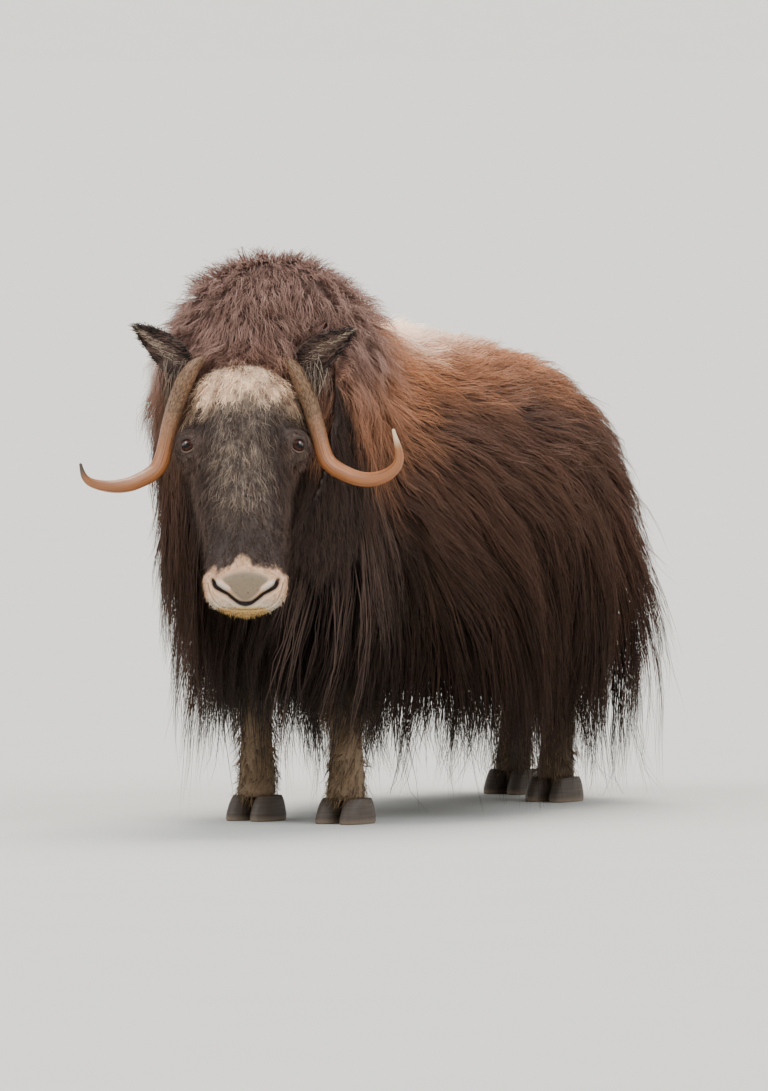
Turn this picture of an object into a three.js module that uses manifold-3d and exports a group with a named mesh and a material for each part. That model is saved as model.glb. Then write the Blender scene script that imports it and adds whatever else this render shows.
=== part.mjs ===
// An adult muskox cow, life size, standing with its head turned to its left.
// Millimetres, +Z up, -Y forwards, +X to the animal's left. Every node is one closed solid.

import * as THREE from "three";
import { mergeVertices } from "three/addons/utils/BufferGeometryUtils.js";
import Module from "manifold-3d";

const wasm = await Module();
wasm.setup();

// Driving dimensions
const gap = 0.35; // air between neighbouring nodes
const headTurn = THREE.MathUtils.degToRad(30); // the head's turn to the animal's left
const headPitch = THREE.MathUtils.degToRad(62); // the face line, below the horizon
const poll = new THREE.Vector3(20, -722, 972); // top of the face line, between the horns
const headLength = 564; // poll to the end of the nose
const eyeRadius = 17;
const foreStep = -450; // where the forefeet stand
const hindStep = { left: 440, right: 640 }; // where the hind feet stand
const legSpread = 108; // a foot's centre from the middle of the body
const hoofHeight = 52;
const kneeHeight = 290;
const hockHeight = 335;
const hem = { front: 150, rear: 62 }; // floor to the tips of the skirt
const coatDepth = 58; // the flank's coat, from the flesh to the tips
const lockThickness = 24;
const flank = { fore: -400, rear: 480 }; // where the straight of the flank begins and ends

const colours = {
  coat: 0x4a3328,
  mane: 0x5a4034,
  face: 0x54463c,
  stocking: 0x5c4a3c,
  horn: 0xa8734a,
  hoof: 0x2b2522,
  eye: 0x1c120d,
};

const down = new THREE.Vector3(0, 0, -1);
const vec = (x, y, z) => new THREE.Vector3(x, y, z);
const { clamp, lerp, mapLinear, smoothstep } = THREE.MathUtils;

// Chance, the same at every run.
let seed = 20;
function chance(low = 0, high = 1) {
  seed = (seed + 0x6d2b79f5) | 0;
  let mixed = Math.imul(seed ^ (seed >>> 15), 1 | seed);
  mixed = (mixed + Math.imul(mixed ^ (mixed >>> 7), 61 | mixed)) ^ mixed;
  return lerp(low, high, ((mixed ^ (mixed >>> 14)) >>> 0) / 4294967296);
}

// Turns a closed geometry into a solid, facing out whichever way its rings ran.
function solidOf(geometry) {
  const bare = geometry.clone();
  bare.deleteAttribute("normal");
  bare.deleteAttribute("uv");
  const merged = mergeVertices(bare, 1e-3);
  const triVerts = new Uint32Array(merged.index.array);
  const vertProperties = merged.attributes.position.array;
  const made = new wasm.Manifold(new wasm.Mesh({ numProp: 3, vertProperties, triVerts }));
  if (made.volume() > 0) return made;
  for (let i = 0; i < triVerts.length; i += 3) {
    [triVerts[i + 1], triVerts[i + 2]] = [triVerts[i + 2], triVerts[i + 1]];
  }
  return new wasm.Manifold(new wasm.Mesh({ numProp: 3, vertProperties, triVerts }));
}

// Gives a solid's surface back as a geometry.
function geometryOf(solid) {
  const mesh = solid.getMesh();
  const positions = new Float32Array(mesh.numVert * 3);
  for (let i = 0; i < mesh.numVert; i++) {
    positions.set(mesh.vertProperties.subarray(i * mesh.numProp, i * mesh.numProp + 3), i * 3);
  }
  const geometry = new THREE.BufferGeometry();
  geometry.setAttribute("position", new THREE.BufferAttribute(positions, 3));
  geometry.setIndex(new THREE.BufferAttribute(mesh.triVerts, 1));
  return geometry;
}

const join = (...solids) => wasm.Manifold.union(solids.flat());

// The largest of the separate pieces that a solid falls into.
function largest(solid) {
  return solid.decompose().reduce((best, piece) => (piece.volume() > best.volume() ? piece : best));
}

// A closed skin over rings of points, with a pole in each end.
function loft(rings, startPole, endPole) {
  const sides = rings[0].length;
  const middle = (ring) => ring.reduce((sum, p) => sum.add(p), vec(0, 0, 0)).divideScalar(sides);
  const points = [...rings.flat(), startPole ?? middle(rings[0]), endPole ?? middle(rings.at(-1))];
  const start = points.length - 2;
  const end = points.length - 1;
  const lastRing = (rings.length - 1) * sides;
  const index = [];
  for (let j = 0; j < sides; j++) {
    const next = (j + 1) % sides;
    index.push(start, next, j);
    index.push(end, lastRing + j, lastRing + next);
    for (let base = 0; base < lastRing; base += sides) {
      index.push(base + j, base + next, base + sides + next);
      index.push(base + j, base + sides + next, base + sides + j);
    }
  }
  const geometry = new THREE.BufferGeometry().setFromPoints(points);
  geometry.setIndex(index);
  return solidOf(geometry);
}

// A bent plate between a front and a back grid of points, walled in at its four edges.
function plate(front, back) {
  const rows = front.length;
  const columns = front[0].length;
  const points = [...front.flat(), ...back.flat()];
  const at = (row, column, behind) => behind * rows * columns + row * columns + column;
  const index = [];
  const quad = (a, b, c, d) => index.push(a, b, c, a, c, d);
  for (let i = 0; i < rows - 1; i++) {
    for (let j = 0; j < columns - 1; j++) {
      quad(at(i, j, 0), at(i, j + 1, 0), at(i + 1, j + 1, 0), at(i + 1, j, 0));
      quad(at(i, j, 1), at(i + 1, j, 1), at(i + 1, j + 1, 1), at(i, j + 1, 1));
    }
    quad(at(i, 0, 0), at(i + 1, 0, 0), at(i + 1, 0, 1), at(i, 0, 1));
    quad(at(i, columns - 1, 0), at(i, columns - 1, 1), at(i + 1, columns - 1, 1), at(i + 1, columns - 1, 0));
  }
  for (let j = 0; j < columns - 1; j++) {
    quad(at(0, j, 0), at(0, j, 1), at(0, j + 1, 1), at(0, j + 1, 0));
    quad(at(rows - 1, j, 0), at(rows - 1, j + 1, 0), at(rows - 1, j + 1, 1), at(rows - 1, j, 1));
  }
  const geometry = new THREE.BufferGeometry().setFromPoints(points);
  geometry.setIndex(index);
  return solidOf(geometry);
}

// A superellipse's point at an angle: 2 is an ellipse, more is boxier.
function superellipse(angle, power) {
  const round = (value) => Math.sign(value) * Math.abs(value) ** (2 / power);
  return [round(Math.cos(angle)), round(Math.sin(angle))];
}

// Rows of named sizes at stations, read smoothly between the rows.
function sizesAlong(rows) {
  const names = Object.keys(rows[0]).filter((name) => name !== "at");
  const stations = rows.map((row) => row.at);
  const values = rows.flatMap((row) => names.map((name) => row[name]));
  const reader = new THREE.CubicInterpolant(stations, values, names.length);
  return (at) => {
    const read = reader.evaluate(at);
    return Object.fromEntries(names.map((name, i) => [name, read[i]]));
  };
}

const evenly = (count, from, to) =>
  Array.from({ length: count }, (_, i) => from + ((to - from) * i) / (count - 1));

// A ball stretched to three half sizes, along its own axes, at a place.
function ball(centre, halves, axes, sides = 14) {
  const geometry = new THREE.SphereGeometry(1, sides, Math.round(sides * 0.6));
  const matrix = new THREE.Matrix4();
  const [a, b, c] = axes ?? [vec(1, 0, 0), vec(0, 1, 0), vec(0, 0, 1)];
  matrix.makeBasis(
    a.clone().multiplyScalar(halves[0]),
    b.clone().multiplyScalar(halves[1]),
    c.clone().multiplyScalar(halves[2]),
  );
  matrix.setPosition(centre);
  return solidOf(geometry.applyMatrix4(matrix));
}

// A round or oval tube along a smooth curve. Its half sizes are read at each share of its length,
// the first across the curve and the second along facing.
function tube(points, sizeAt, facing, { rings = 12, sides = 10, grow = 0 } = {}) {
  const curve = new THREE.CatmullRomCurve3(points, false, "centripetal");
  const made = evenly(rings, 0, 1).map((share) => {
    const centre = curve.getPointAt(share);
    const heading = curve.getTangentAt(share);
    const side = heading.clone().cross(facing).normalize();
    const front = side.clone().cross(heading).normalize();
    const [a, b] = sizeAt(share);
    return evenly(sides + 1, 0, 2 * Math.PI)
      .slice(0, sides)
      .map((angle) =>
        centre
          .clone()
          .addScaledVector(side, (a + grow) * Math.cos(angle))
          .addScaledVector(front, (b + grow) * Math.sin(angle)),
      );
  });
  const startPole = curve.getPointAt(0).addScaledVector(curve.getTangentAt(0), -grow);
  const endPole = curve.getPointAt(1).addScaledVector(curve.getTangentAt(1), grow);
  return loft(made, startPole, endPole);
}

// The trunk, as stations from the brisket to the rump.
const trunkSizes = sizesAlong([
  { at: -640, top: 780, bottom: 600, wide: 90, middle: 690 },
  { at: -560, top: 960, bottom: 470, wide: 190, middle: 690 },
  { at: -430, top: 1075, bottom: 410, wide: 235, middle: 700 },
  { at: -250, top: 1040, bottom: 400, wide: 255, middle: 680 },
  { at: 0, top: 1005, bottom: 395, wide: 268, middle: 670 },
  { at: 240, top: 975, bottom: 405, wide: 262, middle: 670 },
  { at: 455, top: 932, bottom: 430, wide: 224, middle: 680 },
  { at: 620, top: 850, bottom: 500, wide: 142, middle: 690 },
  { at: 705, top: 760, bottom: 580, wide: 72, middle: 690 },
]);

// Height of the skirt's tips at a place along the body.
const hemAt = (y) => mapLinear(clamp(y, -600, 700), -600, 700, hem.front, hem.rear);

function trunkRing(y, { grow = 0, sides = 20, coat = 0 } = {}) {
  const size = trunkSizes(y);
  const bottom = size.bottom - coat * 0.5;
  return evenly(sides + 1, 0, 2 * Math.PI)
    .slice(0, sides)
    .map((angle) => {
      const [across, up] = superellipse(angle, angle < Math.PI ? 1.9 : 2.6);
      const height = up > 0 ? size.top + coat * 0.7 - size.middle : size.middle - bottom;
      return vec(across * (size.wide + coat + grow), y, size.middle + up * (height + grow));
    });
}

function trunk(options = {}) {
  const { grow = 0, coat = 0 } = options;
  const rings = evenly(15, -640, 705).map((y) => trunkRing(y, options));
  const noseOut = 25 + grow + coat * 0.8;
  return loft(rings, vec(0, -640 - noseOut, 690), vec(0, 705 + noseOut, 680));
}

// The head's own directions: forwards over the ground, to its left, down the face, and back from it.
const forwards = vec(Math.sin(headTurn), -Math.cos(headTurn), 0);
const leftwards = vec(Math.cos(headTurn), Math.sin(headTurn), 0);
const upwards = vec(0, 0, 1);
const downFace = forwards
  .clone()
  .multiplyScalar(Math.cos(headPitch))
  .addScaledVector(down, Math.sin(headPitch));
const behindFace = leftwards.clone().cross(downFace).normalize();
if (behindFace.dot(forwards) > 0) behindFace.negate();

// A place on the head: across to its left, down the face line and back from it.
const faceAxes = [leftwards, downFace, behindFace];
const onHead = (across, along, back) =>
  poll
    .clone()
    .addScaledVector(leftwards, across)
    .addScaledVector(downFace, along)
    .addScaledVector(behindFace, back);

// A place beside the head, level with the floor: to its left, forwards of the poll and above it.
const byHead = (across, ahead, up) =>
  poll
    .clone()
    .addScaledVector(leftwards, across)
    .addScaledVector(forwards, ahead)
    .addScaledVector(upwards, up);

// The head, as stations from the poll to the nose.
const headSizes = sizesAlong([
  { at: 5, wide: 84, front: 22, back: 130 },
  { at: 65, wide: 104, front: 2, back: 180 },
  { at: 155, wide: 108, front: -2, back: 196 },
  { at: 240, wide: 98, front: 2, back: 184 },
  { at: 330, wide: 84, front: 4, back: 150 },
  { at: 420, wide: 78, front: 2, back: 118 },
  { at: 478, wide: 88, front: 0, back: 108 },
  { at: 524, wide: 82, front: 11, back: 100 },
  { at: 551, wide: 54, front: 32, back: 84 },
]);

function headCore(grow = 0) {
  const sides = 18;
  const rings = evenly(12, 5, 551).map((along) => {
    const size = headSizes(along);
    const middle = (size.front + size.back) / 2;
    const deep = (size.back - size.front) / 2;
    return evenly(sides + 1, 0, 2 * Math.PI)
      .slice(0, sides)
      .map((angle) => {
        const [across, back] = superellipse(angle, 2.4);
        return onHead(across * (size.wide + grow), along, middle + back * (deep + grow));
      });
  });
  const skull = ball(onHead(0, 78, 96), [110 + grow, 114 + grow, 102 + grow], faceAxes, 12);
  return join(loft(rings, onHead(0, -8 - grow, 70), onHead(0, headLength + grow, 56)), skull);
}

const eyeCentre = (side) => onHead(side * 110, 179, 43);
const eyeOut = (side) =>
  leftwards.clone().multiplyScalar(side * 0.86).addScaledVector(forwards, 0.5).normalize();

function eye(side, grow = 0) {
  return ball(eyeCentre(side), Array(3).fill(eyeRadius + grow), undefined, 12);
}

// The orbit's bulge, a rim round the eye that leaves an almond opening between two lids.
function orbit(side, grow = 0) {
  const out = eyeOut(side);
  const along = out.clone().cross(upwards).normalize();
  const rise = along.clone().cross(out).normalize();
  const axes = [along, rise, out];
  const centre = eyeCentre(side);
  const grown = (...halves) => halves.map((half) => half + grow);
  const rim = ball(centre.clone().addScaledVector(out, -2), grown(27, 25, 23.5), axes, 12);
  const behind = centre.clone().addScaledVector(out, -20).addScaledVector(rise, -4);
  const cheekbone = ball(behind, grown(44, 44, 32), axes, 10);
  const brow = ball(centre.clone().addScaledVector(rise, 13), grown(26, 11, 22), axes, 8);
  return join(rim, brow, cheekbone);
}

function eyeOpening(side) {
  const out = eyeOut(side);
  const along = out.clone().cross(upwards).normalize();
  const rise = along.clone().cross(out).normalize();
  return ball(eyeCentre(side).addScaledVector(out, 19), [16, 9, 14], [along, rise, out], 10);
}

// A horn: broad and flat on the brow, down beside the eye, then out, forwards and up to its tip.
const hornShape = {
  left: { reach: 322, drop: 247, hook: 104, tipIn: 12, side: 1 },
  right: { reach: 324, drop: 261, hook: 48, tipIn: -8, side: -1 },
};

function hornPath({ reach, drop, hook, tipIn, side }) {
  return [
    byHead(side * 80, -58, -2),
    byHead(side * 102, -30, -18),
    byHead(side * 122, -15, -52),
    byHead(side * 139, -10, -96),
    byHead(side * 150, -4, -136),
    byHead(side * 172, 22, -drop * 0.84),
    byHead(side * reach * 0.67, 62, -drop + 9),
    byHead(side * reach * 0.81, 98, -drop),
    byHead(side * reach * 0.94, 128, -drop + hook * 0.14),
    byHead(side * reach, 146, -drop + hook * 0.45),
    byHead(side * (reach - tipIn), 156, -drop + hook),
  ];
}

function horn(shape, grow = 0) {
  const thickness = sizesAlong([
    { at: 0, across: 22, deep: 30 },
    { at: 0.12, across: 25, deep: 38 },
    { at: 0.3, across: 21, deep: 30 },
    { at: 0.5, across: 19, deep: 21 },
    { at: 0.75, across: 15, deep: 15 },
    { at: 0.92, across: 8.5, deep: 8.5 },
    { at: 1, across: 2.5, deep: 2.5 },
  ]);
  const sizeAt = (share) => {
    const size = thickness(share);
    return [size.across, size.deep];
  };
  return tube(hornPath(shape), sizeAt, forwards, { rings: 15, sides: 10, grow });
}

// An ear: a pointed cup that opens forwards, on a short stalk.
const earSizes = { length: 132, width: 74, cup: 26, thick: 5 };

function ear(side, grow = 0) {
  const root = byHead(side * 116, -52, -24);
  const tip = byHead(side * 229, -70, 62);
  const along = tip.clone().sub(root).normalize();
  const opening = forwards.clone().addScaledVector(leftwards, side * 0.35).addScaledVector(upwards, -0.1);
  const across = along.clone().cross(opening).normalize();
  const out = across.clone().cross(along).normalize();
  const { length, width, cup, thick } = earSizes;
  const shares = evenly(6, 0, 1);
  const leaf = (lift, wider) =>
    shares.map((share) => {
      const half = (width / 2) * Math.sin(Math.PI * (0.2 + 0.79 * share) ** 1.1) ** 0.75 + wider;
      const depth = cup * (1 - share) ** 0.6;
      return evenly(5, -1, 1).map((turn) =>
        root
          .clone()
          .addScaledVector(along, (length + 2 * grow) * share - 2 * grow * (1 - share))
          .addScaledVector(along, 8 * share * (1 - share) * Math.abs(turn))
          .addScaledVector(across, turn * half)
          .addScaledVector(out, depth * (turn * turn - 0.6) + lift),
      );
    });
  const blade = plate(leaf(thick / 2 + 2 * grow, 0), leaf(-thick / 2 - grow, 2 * grow));
  const stalk = tube(
    [byHead(side * 84, -44, -50), root, root.clone().addScaledVector(along, 26)],
    (share) => [26 - 10 * share, 22 - 10 * share],
    opening,
    { rings: 4, sides: 8, grow },
  );
  return join(blade, stalk);
}

// Places on the muzzle's surface, found by looking out from inside the head.
function surfaceReader(solid) {
  const mesh = new THREE.Mesh(geometryOf(solid), new THREE.MeshBasicMaterial({ side: THREE.DoubleSide }));
  const ray = new THREE.Raycaster();
  return (from, heading) => {
    ray.set(from, heading.clone().normalize());
    const hits = ray.intersectObject(mesh);
    return hits.length ? hits.at(-1).point : null;
  };
}

// The nostrils' hollows, the line under the nose pad and the line of the mouth.
function faceCuts(core) {
  const read = surfaceReader(core);
  const inside = onHead(0, 486, 56);
  const onMuzzle = (across, along, back) => read(inside, onHead(across, along, back).sub(inside));
  const groove = (places, radius) => tube(places, () => [radius, radius], forwards, { rings: 8, sides: 5 });
  const cuts = [];
  for (const side of [1, -1]) {
    const outer = onMuzzle(side * 64, 488, 14);
    const inner = onMuzzle(side * 38, 524, 24);
    const middle = outer.clone().add(inner).multiplyScalar(0.5);
    const along = inner.clone().sub(outer).normalize();
    const outwards = middle.clone().sub(inside).normalize();
    const across = along.clone().cross(outwards).normalize();
    cuts.push(ball(middle, [19, 8, 16], [along, across, outwards.clone().cross(across)], 8));
  }
  const underPad = evenly(9, -1, 1).map((turn) => {
    const dip = 1 - turn * turn;
    return onMuzzle(turn * 40, 524 + 20 * dip, 24 + 18 * dip);
  });
  cuts.push(groove(underPad, 3));
  const mouth = evenly(9, -1, 1).map((turn) =>
    onMuzzle(turn * 74, 544 - 100 * turn ** 4, 68 + 6 * turn * turn),
  );
  cuts.push(groove(mouth, 3));
  return cuts;
}

// The neck, inside its mane: from the withers to the back of the skull.
const neckPath = [vec(0, -330, 800), vec(-8, -480, 838), vec(-34, -590, 858), byHead(0, -34, -110)];

// Half sizes of the mane's outline, where its tips lie.
const maneSizes = sizesAlong([
  { at: 0, wide: 250, high: 275 },
  { at: 0.35, wide: 262, high: 352 },
  { at: 0.65, wide: 262, high: 360 },
  { at: 0.9, wide: 226, high: 302 },
  { at: 1, wide: 180, high: 244 },
  { at: 1.3, wide: 158, high: 200 },
]);

const neckCurve = new THREE.CatmullRomCurve3(neckPath, false, "centripetal");

// The neck as deep as the roots of its mane, with the throat below it.
function neckCore() {
  const sizeAt = (share) => {
    const { wide, high } = maneSizes(share);
    return [wide - 36, high - 40];
  };
  const throat = [byHead(0, -110, -250), vec(-22, -640, 560), vec(-8, -600, 400)];
  const throatSize = (share) => [112 - 62 * share, 88 - 50 * share];
  const beard = tube(throat, throatSize, forwards, { rings: 5, sides: 8 });
  return join(tube(neckPath, sizeAt, upwards, { rings: 8, sides: 16 }), beard);
}

// A leg, as heights with a place along the body and half sizes, from inside the body to the hoof.
function legSolid(foot, rows, grow = 0) {
  const sizes = sizesAlong([...rows].reverse());
  const sides = 12;
  const heights = rows.map((row) => row.at);
  const levels = evenly(8, heights.at(-1), heights[0]);
  const rings = levels.map((z) => {
    const { ahead, across, along, inwards } = sizes(z);
    return evenly(sides + 1, 0, 2 * Math.PI)
      .slice(0, sides)
      .map((angle) =>
        vec(
          foot.x - Math.sign(foot.x) * inwards + (across + grow) * Math.cos(angle),
          foot.y - ahead + (along + grow) * Math.sin(angle),
          z,
        ),
      );
  });
  return loft(rings);
}

const foreleg = [
  { at: 530, ahead: -30, across: 70, along: 88, inwards: -24 },
  { at: 400, ahead: -12, across: 60, along: 70, inwards: -12 },
  { at: kneeHeight, ahead: 6, across: 47, along: 52, inwards: 0 },
  { at: 200, ahead: 2, across: 36, along: 40, inwards: 0 },
  { at: 112, ahead: 0, across: 38, along: 43, inwards: 0 },
  { at: hoofHeight + gap, ahead: 2, across: 44, along: 46, inwards: 0 },
];

const hindleg = [
  { at: 560, ahead: 40, across: 72, along: 110, inwards: -22 },
  { at: 440, ahead: -6, across: 58, along: 82, inwards: -12 },
  { at: hockHeight, ahead: -48, across: 42, along: 54, inwards: 0 },
  { at: 220, ahead: -24, across: 36, along: 40, inwards: 0 },
  { at: 112, ahead: -6, across: 37, along: 42, inwards: 0 },
  { at: hoofHeight + gap, ahead: 0, across: 43, along: 45, inwards: 0 },
];

// Two small claws behind the fetlock.
function dewclaws(foot, grow = 0) {
  return [1, -1].map((side) =>
    tube(
      [
        vec(foot.x + side * 16, foot.y + 30, 104),
        vec(foot.x + side * 18, foot.y + 46, 94),
        vec(foot.x + side * 19, foot.y + 54, 78),
      ],
      (share) => [11 - 5 * share, 10 - 5 * share],
      upwards,
      { rings: 3, sides: 6, grow },
    ),
  );
}

// One toe of a cloven hoof, flat on the floor.
function toe(foot, side, grow = 0) {
  const levels = [
    { z: 0, half: 26.5, fore: 62, rear: 50, shift: 0 },
    { z: 12, half: 27, fore: 61, rear: 51, shift: 0 },
    { z: 34, half: 25.5, fore: 52, rear: 48, shift: 1 },
    { z: hoofHeight, half: 22, fore: 38, rear: 44, shift: 2 },
  ];
  const sides = 12;
  const rings = levels.map(({ z, half, fore, rear, shift }) =>
    evenly(sides + 1, 0, 2 * Math.PI)
      .slice(0, sides)
      .map((angle) => {
        const [across, along] = superellipse(angle, 2.5);
        const reach = along < 0 ? fore : rear;
        const pinch = 1 - 0.25 * Math.max(0, -along) ** 2;
        const turnIn = side * 6 * Math.max(0, -along) ** 2;
        const x = foot.x + side * (29 - shift) + across * (half + grow) * pinch - turnIn;
        return vec(x, foot.y + along * (reach + grow), z);
      }),
  );
  return loft(rings);
}

const tailRoot = vec(0, 695, 772);

function tail(grow = 0) {
  const path = [tailRoot, vec(0, 736, 742), vec(0, 754, 700), vec(0, 756, 650)];
  const sizeAt = (share) => [30 - 12 * share ** 2, 17 - 9 * share];
  return tube(path, sizeAt, vec(0, 1, 0), { rings: 7, sides: 10, grow });
}

// Cut planes, as the height of the flank where each crosses and the lean of the hair that runs beside it.
const cuts = {
  neck: { y: -500, lean: 0.1, turn: headTurn / 2 },
  loin: { y: -150, lean: 0.22, turn: 0 },
  hip: { y: 280, lean: 0.22, turn: 0 },
};
const planeLevel = 700;

function planeOf({ y, lean, turn }) {
  const normal = vec(-Math.sin(turn), Math.cos(turn), lean).normalize();
  return { normal, offset: normal.dot(vec(0, y, planeLevel)) };
}

// What lies between two cut planes, each drawn in by half the gap.
function between(solid, fore, rear) {
  let kept = solid;
  if (fore) {
    const { normal, offset } = planeOf(fore);
    kept = kept.trimByPlane(normal.toArray(), offset + gap / 2);
  }
  if (rear) {
    const { normal, offset } = planeOf(rear);
    kept = kept.trimByPlane(normal.clone().negate().toArray(), -offset + gap / 2);
  }
  return kept;
}

const skullPlane = { normal: forwards.clone(), offset: forwards.dot(byHead(0, -85, 0)) };

const nodes = [];
const finishes = {
  coat: { roughness: 0.9 },
  mane: { roughness: 0.92 },
  face: { roughness: 0.85 },
  stocking: { roughness: 0.88 },
  horn: { roughness: 0.45 },
  hoof: { roughness: 0.6 },
  eye: { roughness: 0.1 },
};

function addNode(name, solid, finish) {
  nodes.push({ name, solid: largest(largest(solid).simplify(0.05)), finish });
}

// The hard parts of the head, and the head cut to take them.
const sides = { left: 1, right: -1 };
const hornsGrown = Object.values(hornShape).map((shape) => horn(shape, 1.6 * gap));
const head = headCore();
const eyesGrown = [eye(1, gap), eye(-1, gap)];
const lowerLip = ball(onHead(0, 534, 84), [42, 20, 20], faceAxes, 12);
let headSolid = join(head, orbit(1), orbit(-1), lowerLip);
headSolid = headSolid.trimByPlane(skullPlane.normal.toArray(), skullPlane.offset + gap / 2);
headSolid = headSolid.simplify(0.8);
for (const cut of [...hornsGrown, ...eyesGrown, eyeOpening(1), eyeOpening(-1), ...faceCuts(head)]) {
  headSolid = headSolid.subtract(cut);
}
const headAlone = join(headCore(gap), orbit(1, 4 * gap), orbit(-1, 4 * gap));
const headGrown = headAlone.trimByPlane(skullPlane.normal.toArray(), skullPlane.offset - gap / 2);

const feet = {
  fore_left: vec(legSpread, foreStep, 0),
  fore_right: vec(-legSpread, foreStep, 0),
  hind_left: vec(legSpread, hindStep.left, 0),
  hind_right: vec(-legSpread, hindStep.right, 0),
};

const legsGrown = [];
for (const [name, foot] of Object.entries(feet)) {
  const rows = name.startsWith("fore") ? foreleg : hindleg;
  const bend = name.startsWith("fore") ? kneeHeight : hockHeight;
  legsGrown.push(legSolid(foot, rows, gap), ...dewclaws(foot, gap));
  const leg = join(legSolid(foot, rows), dewclaws(foot));
  const upper = leg.trimByPlane([0, 0, 1], bend + gap / 2);
  addNode(`${name}_leg_lower`, leg.trimByPlane([0, 0, -1], -bend + gap / 2), "stocking");
  addNode(`${name}_leg_upper`, upper.subtract(trunk({ grow: gap, coat: coatDepth / 2 })), "coat");
  addNode(`${name}_hoof_inner`, toe(foot, -Math.sign(foot.x)), "hoof");
  addNode(`${name}_hoof_outer`, toe(foot, Math.sign(foot.x)), "hoof");
}

// The trunk and neck in one piece, as deep as the roots of the long hair.
const trunkCore = trunk({ coat: coatDepth / 2 });
const bodyCore = join(trunkCore, neckCore());
const readTrunk = surfaceReader(trunkCore);

// One flat, tapered lock along a path of places. Each share of its length has a place and a way out from
// the body.
function lock(placeAt, { width, thickness = lockThickness, rings = [0, 0.28, 0.58, 0.83] }) {
  const wideAt = (share) => (width / 2) * (0.66 + 0.9 * share - 1.26 * share ** 2);
  const thickAt = (share) => (thickness / 2) * (1 - 0.62 * share);
  const made = rings.map((share) => {
    const { place, out } = placeAt(share);
    const heading = placeAt(share + 0.02).place.sub(placeAt(share - 0.02).place).normalize();
    const across = heading.clone().cross(out).normalize();
    const ridge = across.clone().cross(heading).normalize();
    if (ridge.dot(out) < 0) ridge.negate();
    return [
      place.clone().addScaledVector(across, wideAt(share)),
      place.clone().addScaledVector(ridge, thickAt(share)),
      place.clone().addScaledVector(across, -wideAt(share)),
      place.clone().addScaledVector(ridge, -thickAt(share)),
    ];
  });
  return loft(made, undefined, placeAt(1).place);
}

// A way out from the body's middle: along the left flank, round the rump, back along the right flank
// and round the chest.
function stand(round) {
  const turn = ((round % 4) + 4) % 4;
  const angle = (turn % 1) * Math.PI;
  if (turn < 1) return { y: lerp(flank.fore, flank.rear, turn), heading: vec(1, 0, 0) };
  if (turn < 2) return { y: flank.rear, heading: vec(Math.cos(angle), Math.sin(angle), 0) };
  if (turn < 3) return { y: lerp(flank.rear, flank.fore, turn - 2), heading: vec(-1, 0, 0) };
  return { y: flank.fore, heading: vec(-Math.cos(angle), -Math.sin(angle), 0) };
}

// How far the coat stands out low down: over the thighs and behind them, and at the two sides of the chest.
function standsOut(round, z) {
  const turn = ((round % 4) + 4) % 4;
  const rear = smoothstep(turn, 0.68, 1.05) - smoothstep(turn, 1.95, 2.32);
  const near = (side) => Math.exp(-(((turn - side) / 0.3) ** 2));
  const chest = Math.min(1, near(3.16) + near(3.84) + near(-0.16));
  const thigh = 116 * smoothstep(650 - z, 0, 300) - 34 * smoothstep(300 - z, 0, 170);
  const shoulder = 72 * smoothstep(780 - z, 0, 220) - 92 * smoothstep(370 - z, 0, 230);
  return rear * thigh + chest * shoulder;
}

// A place on the coat, so far round the body, at a height, and out from the roots. Below the flank it hangs.
const hangFrom = 530;
function onCoat(round, z, out) {
  const { y, heading } = stand(round);
  const surface = readTrunk(vec(0, y, Math.max(z, hangFrom)), heading);
  const place = surface.addScaledVector(heading, out - 0.09 * Math.max(0, hangFrom - z));
  return { place: place.setZ(z), out: heading };
}

// The skirt and the long hair of the flanks, in tiers that overlap as tiles do.
const few = [0, 0.4, 0.78];
const more = [0, 0.3, 0.62, 0.86];
const tiers = [
  { root: 815, length: 260, from: 0.05, to: 2.95, count: 22, layer: 8, width: 112, rings: few },
  { root: 655, length: 280, from: -0.02, to: 3.02, count: 24, layer: 4, width: 114, rings: few },
  { root: 512, length: 0, from: -0.48, to: 3.48, count: 38, layer: 0, width: 116, rings: more },
  { root: 505, length: 0, from: -0.44, to: 3.44, count: 16, layer: -28, width: 146, rings: few },
];
const straight = flank.rear - flank.fore;
const backSweep = 0.16; // how far the hair leans to the rear for each length that it falls

function coatLocks() {
  const locks = [];
  for (const { root, length, from, to, count, layer, width, rings } of tiers) {
    evenly(count, from, to).forEach((place, i) => {
      const round = place + chance(-0.012, 0.012);
      const { y, heading } = stand(round);
      const top = root + chance(-22, 22) - (y > 440 ? 30 : 0);
      const fall = length ? length * chance(0.88, 1.12) : top - hemAt(y + heading.y * 200) - chance(-22, 26);
      const nearTail = Math.abs(((round % 4) + 4) % 4 - 1.5) < 0.07 && root > 600;
      if (nearTail) return;
      const raised = (i % 2) * 9;
      const sway = chance(-14, 14);
      const rearwards = Math.abs(heading.x) * Math.sign(heading.x) * (backSweep * fall) / straight;
      const placeAt = (share) => {
        const bend = (sway * Math.sin(Math.PI * share * 1.3)) / straight;
        const turned = round + rearwards * share + bend;
        const z = top - fall * share;
        const out = -34 + layer + raised + 104 * share - 58 * share ** 2;
        return onCoat(turned, z, out + smoothstep(share, 0, 0.3) * standsOut(turned, z));
      };
      const spread = 1 + 0.0018 * Math.max(0, standsOut(round, 420));
      locks.push(lock(placeAt, { width: spread * width * chance(0.92, 1.12), rings }));
    });
  }
  return locks;
}

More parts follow.
